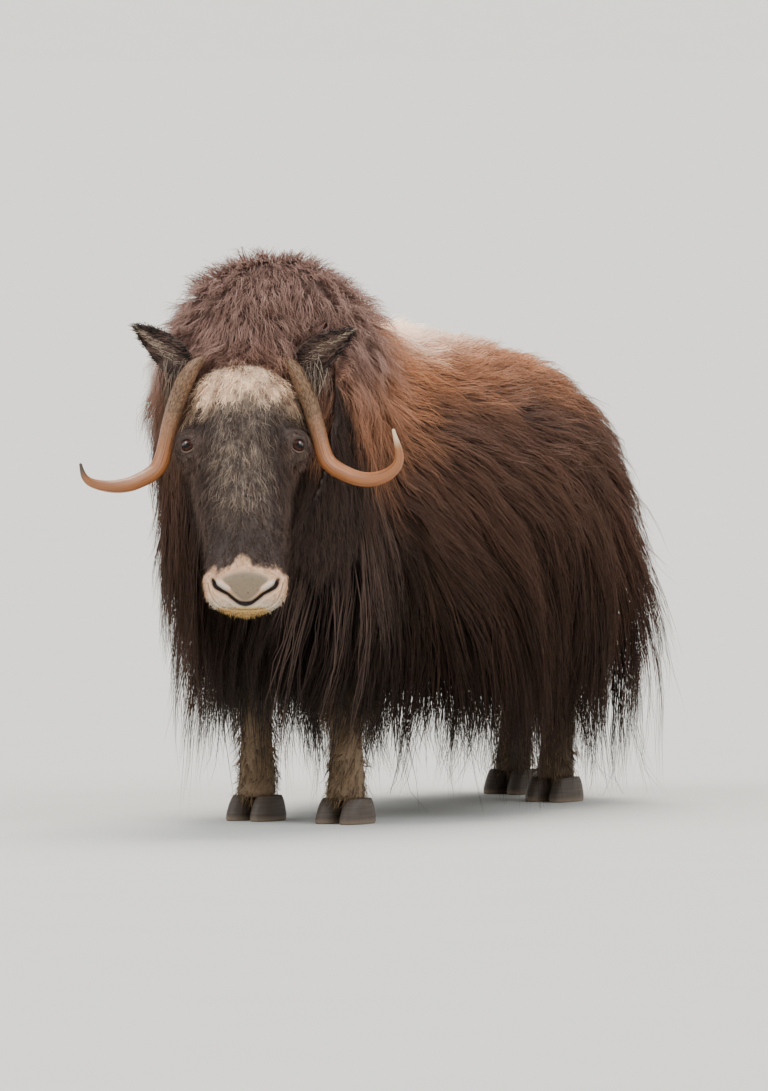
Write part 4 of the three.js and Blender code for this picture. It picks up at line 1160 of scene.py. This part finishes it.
# %% A short way to write shader maths
class Value:
    """A number that varies over the surface."""

    def __init__(self, finish, socket):
        self.finish, self.socket = finish, socket

    def maths(self, operation, *others):
        """The result of a Math node on this value and, where it takes one, another."""
        return self.finish.node("ShaderNodeMath", dict(operation=operation), [self, *others])[0]

    def __add__(self, other):
        return self.maths("ADD", other)

    def __radd__(self, other):
        return self.maths("ADD", other)

    def __mul__(self, other):
        return self.maths("MULTIPLY", other)

    def __sub__(self, other):
        return self.maths("SUBTRACT", other)

    def __rsub__(self, other):
        return (self * -1) + other

    def __pow__(self, other):
        return self.maths("POWER", other)

    def size(self):
        """The value without its sign."""
        return self.maths("ABSOLUTE")

    def rises(self, start, end):
        """0 before start and 1 after end; end may be the smaller."""
        return self.finish.node("ShaderNodeMapRange", dict(interpolation_type="SMOOTHSTEP"),
                                {0: self, 1: start, 2: end, 3: 0.0, 4: 1.0})[0]


def tint(red, green, blue):
    """A colour as it is read off a screen, turned to light. The palest hair goes past 255, painted light
    that lifts it out of the shade of its own locks.
    """
    parts = [c / 255 for c in (red, green, blue)]
    return tuple(c / 12.92 if c <= 0.04045 else ((c + 0.055) / 1.055) ** 2.4 for c in parts) + (1.0,)


class Finish:
    """A material and the nodes that make it."""

    def __init__(self, name, **fixed):
        self.material = bpy.data.materials.new(name)
        self.material.use_nodes = True
        self.tree = self.material.node_tree
        self.shader = self.tree.nodes["Principled BSDF"]
        for socket, value in fixed.items():
            self.shader.inputs[socket.replace("_", " ")].default_value = value

    def node(self, kind, settings, inputs):
        """A new node: its settings first, then the values or links of its sockets. Returns its outputs."""
        made = self.tree.nodes.new(kind)
        for setting, value in settings.items():
            setattr(made, setting, value)
        for key, value in inputs.items() if isinstance(inputs, dict) else enumerate(inputs):
            if isinstance(value, Value):
                self.tree.links.new(value.socket, made.inputs[key])
            else:
                made.inputs[key].default_value = value
        return [Value(self, socket) for socket in made.outputs]

    def attribute(self, name):
        """A mesh attribute, as a vector."""
        return self.node("ShaderNodeAttribute", dict(attribute_name=name), {})[1]

    def split(self, vector):
        """The x, y and z of a vector, each a value."""
        return self.node("ShaderNodeSeparateXYZ", {}, [vector])

    def vector_maths(self, operation, a, b):
        """A Vector Math node on a vector and a fixed one."""
        return self.node("ShaderNodeVectorMath", dict(operation=operation), {0: a, 1: tuple(b)})

    def dot(self, vector, way):
        """How far a vector reaches in a direction."""
        return self.vector_maths("DOT_PRODUCT", vector, way)[1]

    def from_poll(self, place):
        """A place, measured from the poll."""
        return self.vector_maths("SUBTRACT", place, POLL)[0]

    def scaled(self, vector, scale):
        """A vector with each of its three parts stretched."""
        return self.vector_maths("MULTIPLY", vector, scale)[0]

    def noise(self, vector, scale, detail=3.0):
        """Smooth noise between 0 and 1. A larger scale makes it finer."""
        return self.node("ShaderNodeTexNoise", {}, {"Vector": vector, "Scale": scale, "Detail": detail})[0]

    def mix(self, share, a, b, kind="MIX"):
        """A colour between a and b by its share, or b laid over a in another way."""
        return self.node("ShaderNodeMix", dict(data_type="RGBA", blend_type=kind), {0: share, 6: a, 7: b})[2]

    def grey(self, value):
        """A grey of this value."""
        return self.node("ShaderNodeCombineColor", {}, [value, value, value])[0]

    def set(self, socket, value):
        """Feed one input of the surface."""
        self.tree.links.new(value.socket, self.shader.inputs[socket])

    def bump(self, height, distance, strength=1.0):
        """Make the surface look raised where the height is large."""
        inputs = {"Height": height, "Distance": distance, "Strength": strength}
        self.set("Normal", self.node("ShaderNodeBump", {}, inputs)[0])


# %% [markdown]
# The markings are painted once and used for the skin and for every lock, by the place of the root. A muskox
# in summer is dark brown, redder along the upper flanks and near black in the skirt. A pale saddle lies
# behind the shoulders, the forehead has a cream patch, the nose and lips are whitish, and the shanks are
# a lighter brown.

# %% Markings shared by skin and coat
BLACK_BROWN = tint(40, 27, 19)
DARK_BROWN = tint(78, 54, 43)
RED_BROWN = tint(118, 85, 70)
TAN_BACK = tint(204, 140, 98)
RUMP_BROWN = tint(100, 73, 62)
MANE_BROWN = tint(160, 124, 111)
MANE_GREY = tint(190, 160, 148)
FACE_DARK = tint(82, 65, 58)
FACE_TAN = tint(168, 148, 130)
# CREAM and SADDLE go past 255: painted light on the palest hair, against the shade of its own locks.
CREAM = tint(296, 258, 220)
SADDLE = tint(292, 262, 236)
MUZZLE = tint(226, 184, 150)
LIP = tint(224, 210, 190)
CHIN = tint(196, 158, 94)
SHANK = tint(116, 94, 70)
THROAT_BLACK_AND_SHADE = tint(30, 20, 14)
NECK_BROWN = tint(84, 62, 50)
EYE_RING = tint(142, 116, 102)
PATCH_TAN = tint(196, 160, 132)
POLL_HEIGHT = float(POLL[2])


def body_colour(finish, x, y, z, tone, cloud, fine):
    """Dark below, redder on the flanks, tan above, a pale saddle, a black throat deepened by painted shade
    on the chest's front, and a mauve mane.
    """
    colour = finish.mix((z + cloud * 0.26).rises(0.44, 0.76), BLACK_BROWN, DARK_BROWN)
    upper = (z + cloud * 0.30).rises(0.62, 0.92)
    colour = finish.mix(upper * (0.45 + tone * 0.55), colour, RED_BROWN)
    back_line = (z + cloud * 0.16 + tone * 0.04).rises(0.85, 1.03) * (y + cloud * 0.2).rises(0.62, 0.34)
    colour = finish.mix(back_line, colour, TAN_BACK)
    rump = (y + cloud * 0.12).rises(0.50, 0.70) * z.rises(0.50, 0.75)
    colour = finish.mix(rump * 0.8, colour, RUMP_BROWN)
    saddle = (y + cloud * 0.12).rises(-0.36, -0.24) * (y + cloud * 0.20 - fine * 0.15).rises(0.38, 0.02)
    saddle = saddle * (z + fine * 0.05 + cloud * 0.1 + tone * 0.02).rises(0.955, 1.035)
    colour = finish.mix(saddle, colour, SADDLE)
    shoulder = (y + cloud * 0.1).rises(-0.30, -0.42) * (z + cloud * 0.2).rises(0.76, 0.93)
    shoulder = shoulder * y.rises(-0.64, -0.54)
    colour = finish.mix(shoulder * 0.8, colour, TAN_BACK)
    # A dark throat and chest front: the coat's own dark, made darker as painted shade where the front faces
    # the lamps.
    throat = y.rises(-0.38, -0.52) * z.rises(0.80, 0.62)
    colour = finish.mix(throat * 0.7, colour, THROAT_BLACK_AND_SHADE)
    mane = finish.mix(tone.rises(0.45, 1.0), MANE_BROWN, MANE_GREY)
    neck = (y - z * 0.35).rises(-0.66, -0.84) * (z + cloud * 0.22).rises(0.82, 1.0)
    colour = finish.mix(neck, colour, mane)
    right_side = (x * -1).rises(0.06, 0.15) * y.rises(-0.46, -0.54) * z.rises(0.98, 0.90)
    return finish.mix(right_side * 0.6, colour, NECK_BROWN)


def face_colour(finish, places, z, tone, cloud, fine):
    """Dark cheeks, a grizzled bridge, lighter eye rings, a cream patch, a pale muzzle and a yellow chin."""
    across, along, back = places
    middle = (across.size() + cloud * 0.05).rises(0.094, 0.028) * along.rises(0.47, 0.40)
    streak = (tone + fine * 0.90 + middle * 0.24).rises(0.52, 1.02) * middle * along.rises(0.42, 0.27)
    face = finish.mix(streak * 0.9, FACE_DARK, FACE_TAN)
    aside, below = across.size() - 0.105, along - 0.186
    ring = (aside * aside + below * below).rises(0.0020, 0.0003) * (tone + fine * 1.4).rises(0.1, 0.8)
    face = finish.mix(ring * 0.55, face, EYE_RING)
    patch = (along + fine * 0.10 + cloud * 0.03 + tone * 0.02).rises(0.132, 0.086)
    patch = patch * across.size().rises(0.124, 0.096) * back.rises(0.110, 0.080)
    cream = finish.mix((fine + tone * 0.4).rises(0.34, 0.16), PATCH_TAN, CREAM)
    face = finish.mix(patch, face, cream)
    point = across.size().rises(0.020, 0.006) * 0.016
    notches = across.size().rises(0.014, 0.026) * across.size().rises(0.060, 0.044) * 0.010
    edge = along + fine * 0.045 + tone * 0.012 - across * across * 1.6 + (point - notches)
    lips = finish.mix((z * -1).rises(0.47 - POLL_HEIGHT, 0.51 - POLL_HEIGHT), MUZZLE, LIP)
    face = finish.mix(edge.rises(0.462, 0.480), face, lips)
    chin = (z * -1).rises(0.499 - POLL_HEIGHT, 0.508 - POLL_HEIGHT) * along.rises(0.49, 0.51)
    chin = chin * across.size().rises(0.064, 0.044)
    face = finish.mix(chin * 0.95, face, CHIN)
    jaw = back.rises(0.090, 0.104) * along.rises(0.51, 0.49)
    return finish.mix(jaw, face, FACE_DARK)


def markings(finish, root, tone):
    """The colour of the pelt at a root. Tone is 0 to 1 and differs from lock to lock."""
    x, y, z = finish.split(root)[:3]
    offset = finish.from_poll(root)
    places = [finish.dot(offset, way) for way in FACE_AXES]
    _, along, back = places
    cloud = finish.noise(root, 7.0) - 0.5
    fine = finish.noise(root, 38.0) - 0.5
    colour = body_colour(finish, x, y, z, tone, cloud, fine)
    brow = along - (back - 0.035) * 0.9
    head = finish.dot(offset, FORWARDS).rises(-0.095, -0.070) * (brow + fine * 0.03).rises(0.000, 0.022)
    colour = finish.mix(head, colour, face_colour(finish, places, z, tone, cloud, fine))
    shank = (z + fine * 0.10).rises(0.36, 0.16)
    stocking = finish.mix((tone + fine * 0.6).rises(-0.15, 0.60), BLACK_BROWN, SHANK)
    return finish.mix(shank, colour, stocking)


def hair_finish(name, paint):
    """Hair: paint gives its colour at the root. Locks differ in tone, have fibres along them, and darken
    near the skin as painted shade.
    """
    finish = Finish(name, Roughness=0.55, Specular_IOR_Level=0.16, Sheen_Weight=0.03, Sheen_Roughness=0.4)
    root, fibre = finish.attribute("root"), finish.attribute("fibre")
    _, along, tone = finish.split(fibre)[:3]
    colour = paint(finish, root, tone)
    strands = finish.noise(finish.scaled(fibre, (2.6, 1.1, 71.0)), 3.0, 2.0)
    # light darkens each lock near the skin, painted shade deep in the coat, and gives paler tips; low tone
    # darkens whole locks, partly at random and partly as painted shade on the deeper ones.
    light = (0.55 + along.rises(0.0, 0.35) * 0.53) * (0.60 + tone * 0.80) * (0.76 + strands * 0.48)
    finish.set("Base Color", finish.mix(1.0, colour, finish.grey(light), "MULTIPLY"))
    finish.bump(strands, 0.0006, 0.7)
    return finish.material


coat_finish = hair_finish("coat of long hair", markings)


def ear_paint(finish, _, tone):
    """Dark outside, pale inside, as the tone says."""
    return finish.mix(tone.rises(0.38, 0.85), tint(56, 42, 36), tint(190, 170, 150))


ear_hair.data.materials.append(hair_finish("hair of the ears", ear_paint))
for piece, slot_name in coat_pieces:
    piece.data.materials.append(coat_finish)
    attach(piece, "root")
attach(ear_hair, "root")

# %% [markdown]
# The skin carries the same markings, darkened as painted shade, because it is seen only in the partings of
# the coat. Round the nose and the eyes it lies bare: a leathery tan pad between the nostrils, near black
# inside them and in the slit of the mouth as painted shade in those hollows, with painted shadow round the
# nostrils and a painted highlight on their whitish wings, and dark lids.

# %% Finish of the skin
everywhere = positions(skin.data)
nostril, mouth, pad, wing = nose_marks(everywhere)
rim_row, rim_place = np.divmod(np.arange(LID_POINTS * len(LID_ROUNDS)), LID_POINTS)
low_rim = (rim_row > 0) & (rim_row < 4) & (np.sin(rim_place / LID_POINTS * 2 * math.pi) < -0.25)
first_lid, first_ear = len(body_points), len(body_points) + 2 * len(low_rim)
lower_lid = np.zeros(len(everywhere), bool)
lower_lid[first_lid:first_ear] = np.tile(low_rim, 2)
shadow = 0.46 * np.exp(-((from_nostril(everywhere) / 0.012) ** 2))
shadow = shadow * (head_places(everywhere)[1] > NOSE_START)
# Near black in the nostrils and the slit of the mouth: painted shade in these hollows, joined with the
# painted shadow round the nostrils.
inside = np.maximum(np.maximum(nostril, shadow), mouth * 0.55)
from_eye = from_pair(everywhere, lambda side: eye_centre(side) + eye_out(side) * 0.010)
on_ear = np.arange(len(everywhere)) >= first_ear
lid_share = np.maximum(1 - ease(from_eye, 0.0165, 0.0195), 0.6 * on_ear) + lower_lid
write_attribute(skin.data, "root", everywhere)
write_attribute(skin.data, "marks", np.stack([inside, pad - wing, lid_share], 1))

pelt = Finish("skin", Specular_IOR_Level=0.4)
root = pelt.attribute("root")
dark, pad_and_wing_glint, lid = pelt.split(pelt.attribute("marks"))[:3]
down = pelt.dot(pelt.from_poll(root), DOWN_FACE)
fuzz = pelt.noise(pelt.scaled(root, (1, 1, 0.35)), 420.0, 2.0)
tone = pelt.noise(root, 160.0, 2.0)
ground = markings(pelt, root, tone)
snout = down.rises(0.44, 0.48)
# Away from the muzzle the skin is darkened by half: painted shade, as it lies under the coat.
ground = pelt.mix(1.0, ground, pelt.grey((0.50 + snout * 0.46) * (0.75 + fuzz * 0.5)), "MULTIPLY")
cells = dict(feature="DISTANCE_TO_EDGE")
pebbles = pelt.node("ShaderNodeTexVoronoi", cells, {"Vector": root, "Scale": 330.0})[0]
leather = pelt.mix(pebbles.rises(0.0, 0.12), tint(98, 84, 66), tint(138, 120, 98))
ground = pelt.mix(pad_and_wing_glint.rises(0.0, 0.8), ground, leather)
# Where the wings beside the nostrils lie, the skin turns whitish: a painted highlight of wet skin.
ground = pelt.mix((pad_and_wing_glint * -1).rises(0.1, 0.6), ground, tint(206, 188, 176))
ground = pelt.mix(lid.rises(0.0, 1.0), ground, tint(56, 42, 37))
ground = pelt.mix(lid.rises(1.2, 1.9), ground, tint(112, 94, 84))
# The first mark paints the shade of the nostrils and the mouth's slit, and the shadow round the nostrils,
# near black.
ground = pelt.mix(dark.rises(0.16, 0.74), ground, tint(34, 26, 25))
pelt.set("Base Color", ground)
pelt.set("Roughness", 0.72 - pad_and_wing_glint.size() * 0.34 - lid * 0.1)
pelt.bump(fuzz * (1 - pad_and_wing_glint.size()) * 0.7 + pebbles * pad_and_wing_glint * 0.6, 0.0012, 0.8)
skin.data.materials.append(pelt.material)
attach(skin, "root")
FLESH = ["head", "neck", "shoulders", "barrel", "rump", "tail", "ear_left", "ear_right"]
FLESH += [f"{leg}_leg_{part}" for leg in FEET for part in ("upper", "lower")]
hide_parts(*FLESH)


# %% [markdown]
# A horn is keratin over bone, grown in layers: rough, cracked and straw coloured on the flat base, then
# smooth and honey brown, with a dark or pale point. Its surface has fine lines along it and low rings
# across it. Both are modelled in the mesh where they are large and left to the finish where they are fine.

# %% Horns
def horn(side, rings=150, count=40):
    """One horn as a loft along its path, with ridges at the base."""
    path = horn_path(side, rings)
    share = np.linspace(0, 1, rings)
    table = np.array(HORN_HALVES)
    wide, deep = (np.interp(share, table[:, 0], table[:, k]) for k in (1, 2))
    soften = np.ones(9) / 9
    wide, deep = (np.convolve(np.pad(v, 4, "edge"), soften, "valid") for v in (wide, deep))
    way = unit(np.gradient(path, axis=0))
    sideways = unit(np.cross(way, FORWARDS))
    front = np.cross(sideways, way)
    turn = np.linspace(0, 2 * math.pi, count, endpoint=False)
    base = (1 - ease(share, 0.18, 0.45))[:, None]
    flutes = 0.045 * np.sin(turn * 9 + 1.3)[None] * base + 0.02 * np.sin(turn * 23 + share[:, None] * 5)
    steps = 0.030 * np.sin(share * 190)[:, None] * base + 0.008 * np.sin(share * 120)[:, None]
    grow = (0.93 + flutes * 0.6 + steps * 0.6)[..., None]
    ring = path[:, None] + grow * (
        sideways[:, None] * (np.cos(turn)[:, None] * wide[:, None, None])
        + front[:, None] * (np.sin(turn)[:, None] * deep[:, None, None])
    )
    name = "horn_left_keratin" if side > 0 else "horn_right_keratin"
    thing = mesh_object(name, *loft(ring, path[0] - way[0] * 0.004, path[-1] + way[-1] * 0.003))
    face_outwards(thing.data)
    fibre = np.zeros((rings * count + 2, 3), np.float32)
    fibre[:-2, 0] = np.tile(np.sin(turn) * 0.5, rings)
    fibre[:-2, 1] = np.repeat(share, count)
    fibre[:-2, 2] = np.tile(np.cos(turn) * 0.5, rings)
    fibre[-1, 1] = 1
    write_attribute(thing.data, "fibre", fibre)
    thing.data.materials.append(horn_finish(side))
    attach(thing, "root")
    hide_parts("horn_left" if side > 0 else "horn_right")
    print(name, len(thing.data.polygons), "faces")
    return thing


def horn_finish(side):
    """Straw at the base, honey in the middle with a painted highlight along its front, and a tip that is
    cream on the left and dark on the right.
    """
    finish = Finish(f"horn of the {'left' if side > 0 else 'right'} side", Specular_IOR_Level=0.5)
    fibre = finish.attribute("fibre")
    around, along = finish.split(fibre)[:2]
    lines = finish.noise(finish.scaled(fibre, (26.0, 2.0, 26.0)), 1.6, 4.0)
    cracks = finish.noise(finish.scaled(fibre, (14.0, 60.0, 14.0)), 1.2, 4.0)
    cloud = finish.noise(finish.scaled(fibre, (1.5, 7.0, 1.5)), 1.4, 2.0)
    straw = finish.mix(cracks.rises(0.3, 0.7), tint(70, 50, 36), tint(142, 108, 78))
    honey = finish.mix(lines.rises(0.32, 0.68), tint(96, 54, 26), tint(190, 116, 58))
    colour = finish.mix((along + (cloud - 0.5) * 0.12).rises(0.24, 0.52), straw, honey)
    point = tint(232, 205, 172) if side > 0 else tint(56, 42, 36)
    colour = finish.mix(along.rises(0.92, 0.985), colour, point)
    # A pale streak along the front of the middle of the horn: a painted highlight.
    colour = finish.mix(around.rises(0.15, 0.5) * along.rises(0.2, 0.4) * 0.05, colour, tint(226, 200, 178))
    finish.set("Base Color", colour)
    finish.set("Roughness", 0.74 - along.rises(0.12, 0.40) * 0.30 + (lines - 0.5) * 0.3)
    finish.set("Coat Weight", along.rises(0.30, 0.5) * 0.18)
    finish.bump(lines * 0.5 + cracks * along.rises(0.42, 0.18), 0.0016, 0.8)
    return finish.material


for side in (-1, 1):
    horn(side)

# %% [markdown]
# Two broad toes carry each leg. A hoof is a blunt half-moon of dark horn with growth rings, flat where it
# stands, and a worn paler edge at the ground.

# %% Hooves
HOOF_ROWS = [  # height, half width, reach to the front, reach to the rear
    (0.0, 0.0255, 0.060, 0.048), (0.003, 0.0265, 0.0618, 0.0500), (0.012, 0.0268, 0.0608, 0.0508),
    (0.024, 0.0258, 0.0550, 0.0488), (0.034, 0.0246, 0.0490, 0.0462), (0.044, 0.0224, 0.0414, 0.0430),
    (0.0518, 0.0196, 0.0330, 0.0390),
]
hoof_finish = Finish("hoof", Specular_IOR_Level=0.45)
place = hoof_finish.node("ShaderNodeTexCoord", {}, {})[3]
rings_up = hoof_finish.noise(hoof_finish.scaled(place, (12, 12, 190)), 1.0, 3.0)
grain = hoof_finish.noise(hoof_finish.scaled(place, (170, 170, 30)), 1.0, 3.0)
up_hoof = hoof_finish.split(place)[2]
shade = hoof_finish.mix(rings_up, tint(40, 33, 29), tint(92, 78, 66))
hoof_finish.set("Base Color", hoof_finish.mix(up_hoof.rises(0.014, 0.001) * 0.6, shade, tint(140, 122, 100)))
hoof_finish.set("Roughness", 0.45 + grain * 0.25)
hoof_finish.bump(rings_up + grain * 0.5, 0.0012, 0.8)


def hoof(leg, toe):
    """One toe of a foot: toe is 1 for the outer and -1 for the inner."""
    foot = FEET[leg]
    middle = foot[0] + np.sign(foot[0]) * toe * 0.029
    turn = np.linspace(0, 2 * math.pi, 44, endpoint=False)
    c, s = np.cos(turn), np.sin(turn)
    rings = []
    for z, half, fore, rear in drawn_out(HOOF_ROWS, 30):
        point = np.where(s < 0, 1 - 0.16 * np.abs(s) ** 3, 1.0)
        x = middle + np.sign(c) * np.abs(c) ** 0.8 * half * point
        y = foot[1] + np.sign(s) * np.abs(s) ** 0.9 * np.where(s < 0, fore, rear)
        rings.append(np.stack([x, y, np.full(44, max(z, 0.0))], 1))
    name = f"{leg}_toe_{'outer' if toe > 0 else 'inner'}"
    thing = mesh_object(name, *loft(rings, (middle, foot[1], 0), (middle, foot[1], 0.0519)))
    face_outwards(thing.data)
    thing.data.materials.append(hoof_finish.material)
    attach(thing, "root")
    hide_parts(f"{leg}_hoof_{'outer' if toe > 0 else 'inner'}")


for leg in FEET:
    for toe in (-1, 1):
        hoof(leg, toe)
print("eight toes on the ground")


# %% [markdown]
# An ox's eye is a dark ball with a brown iris and a level, oblong pupil, and a clear front that shines. The
# ball is one mesh whose front bulges a little, and the finish draws the iris by how far a spot is from the
# middle of the front. Its upper, outer part is the wettest, and there it mirrors the sky.

# %% Eyes
eye_finish = Finish("eye", Roughness=0.15, Specular_IOR_Level=0.05, Coat_Roughness=0.03, Coat_IOR=2.1)
across_eye, up_eye, _ = eye_finish.split(eye_finish.attribute("fibre"))[:3]
reach = (across_eye * across_eye + up_eye * up_eye) ** 0.5
pupil = ((across_eye * 0.55) ** 2.0 + (up_eye * 1.05) ** 2.0) ** 0.5
rays = eye_finish.noise(eye_finish.attribute("fibre"), 14.0, 4.0)
iris = eye_finish.mix(rays, tint(30, 15, 9), tint(74, 38, 24))
iris = eye_finish.mix(pupil.rises(0.34, 0.25), iris, tint(8, 7, 9))
white = eye_finish.mix(rays, tint(24, 15, 11), tint(44, 29, 22))
gloss = up_eye.rises(0.02, 0.30) * across_eye.rises(-0.34, -0.02)
eye_finish.set("Coat Weight", gloss * 0.9 + 0.08)
eye_finish.set("Base Color", eye_finish.mix(reach.rises(0.80, 0.88), iris, white))


def eyeball(side):
    """An eyeball with the bulge of its clear front."""
    slit, rise, out = eye_axes(side)
    points, faces = ball(np.zeros(3), (EYE_RADIUS,) * 3, np.eye(3), 48)
    reach = np.hypot(points[:, 0], points[:, 1]) / EYE_RADIUS
    bulge = 1 + 0.055 * (1 - ease(reach, 0.35, 0.8)) * (points[:, 2] > 0)
    where = points * bulge[:, None] * 0.985
    thing = mesh_object("eyeball_left" if side > 0 else "eyeball_right",
                        eye_centre(side) + where @ np.array([slit, rise, out]), faces)
    face_outwards(thing.data)
    spots = points / EYE_RADIUS
    spots[:, 0] *= side
    spots[:, :2] += 9 * (spots[:, 2:] < 0)
    write_attribute(thing.data, "fibre", spots)
    thing.data.materials.append(eye_finish.material)
    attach(thing, "root")
    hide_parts("eye_left" if side > 0 else "eye_right")


for side in (-1, 1):
    eyeball(side)

# %% [markdown]
# The picture: a pale floor that runs to the horizon, soft light from a bright sky, a broad lamp behind and
# above that edges the hair, and a long lens from far away, a little above the animal's back.

# %% Floor, light and camera
FLOOR_ROWS = [(3, 0), (80, 0), (200, 3), (320, 12), (420, 30), (500, 60), (560, 110), (590, 180)]
floor_rings = []
for reach, height in drawn_out(FLOOR_ROWS, 40):
    across, deep = oval(96, 2)
    floor_rings.append(np.stack([reach * across, reach * deep, np.full(96, height)], 1))
floor = mesh_object("floor", *loft(floor_rings, (0, 0, 0), (0, 0, -60)))
floor.location = (0, 0, -0.0005)
paper = Finish("pale floor", Roughness=0.9, Specular_IOR_Level=0.1)
grain = paper.noise(paper.node("ShaderNodeTexCoord", {}, {})[3], 3.0, 2.0)
paper.set("Base Color", paper.mix(grain, tint(196, 194, 188), tint(202, 200, 194)))
floor.data.materials.append(paper.material)

world = bpy.data.worlds.new("bright sky")
bpy.context.scene.world = world
world.use_nodes = True
world.node_tree.nodes["Background"].inputs[0].default_value = (0.84, 0.89, 0.95, 1)
world.node_tree.nodes["Background"].inputs[1].default_value = 0.72


def lamp(name, azimuth, elevation, strength, softness, colour):
    """A far, broad lamp that shines from an azimuth and elevation in degrees."""
    light = bpy.data.lights.new(name, "SUN")
    light.energy, light.angle, light.color = strength, math.radians(softness), colour
    thing = bpy.data.objects.new(name, light)
    a, e = math.radians(azimuth), math.radians(elevation)
    way = Vector((math.sin(a) * math.cos(e), -math.cos(a) * math.cos(e), math.sin(e)))
    thing.rotation_euler = way.to_track_quat("Z", "Y").to_euler()
    bpy.context.scene.collection.objects.link(thing)


lamp("sky behind", 195, 62, 4.6, 40, (1.0, 0.96, 0.90))
lamp("sky in front", 5, 64, 0.7, 40, (1.0, 0.97, 0.93))
lamp("window on the left", 94, 43, 1.25, 36, (0.92, 0.96, 1.0))
lamp("window on the right", -34, 43, 1.25, 36, (0.92, 0.96, 1.0))

AZIMUTH, ELEVATION, DISTANCE, PIXELS_PER_METRE = math.radians(30), math.radians(2.3), 27.0, 473.0
AIM_ACROSS, AIM_HEIGHT = -0.053, 0.560
LONG_SIDE, SENSOR = 1091, 36.0
right = np.array([math.cos(AZIMUTH), math.sin(AZIMUTH), 0])
aim = right * AIM_ACROSS + UP * AIM_HEIGHT + SHIFT * np.array([1, 1, 0])
toward = np.array([math.sin(AZIMUTH) * math.cos(ELEVATION), -math.cos(AZIMUTH) * math.cos(ELEVATION),
                   math.sin(ELEVATION)])
lens = bpy.data.cameras.new("camera")
lens.sensor_width = SENSOR
lens.lens = SENSOR * DISTANCE * PIXELS_PER_METRE / LONG_SIDE
lens.clip_end = 2000
camera = bpy.data.objects.new("camera", lens)
camera.location = aim + toward * DISTANCE
camera.rotation_euler = Vector(toward).to_track_quat("Z", "Y").to_euler()
bpy.context.scene.collection.objects.link(camera)
bpy.context.scene.camera = camera
print("camera at", [round(v, 2) for v in camera.location], "lens", round(lens.lens, 1))

# %% Where each piece of the coat reaches
for piece, _ in coat_pieces:
    where = positions(piece.data) + SHIFT
    print(piece.name, "from", where.min(0).round(3), "to", where.max(0).round(3))
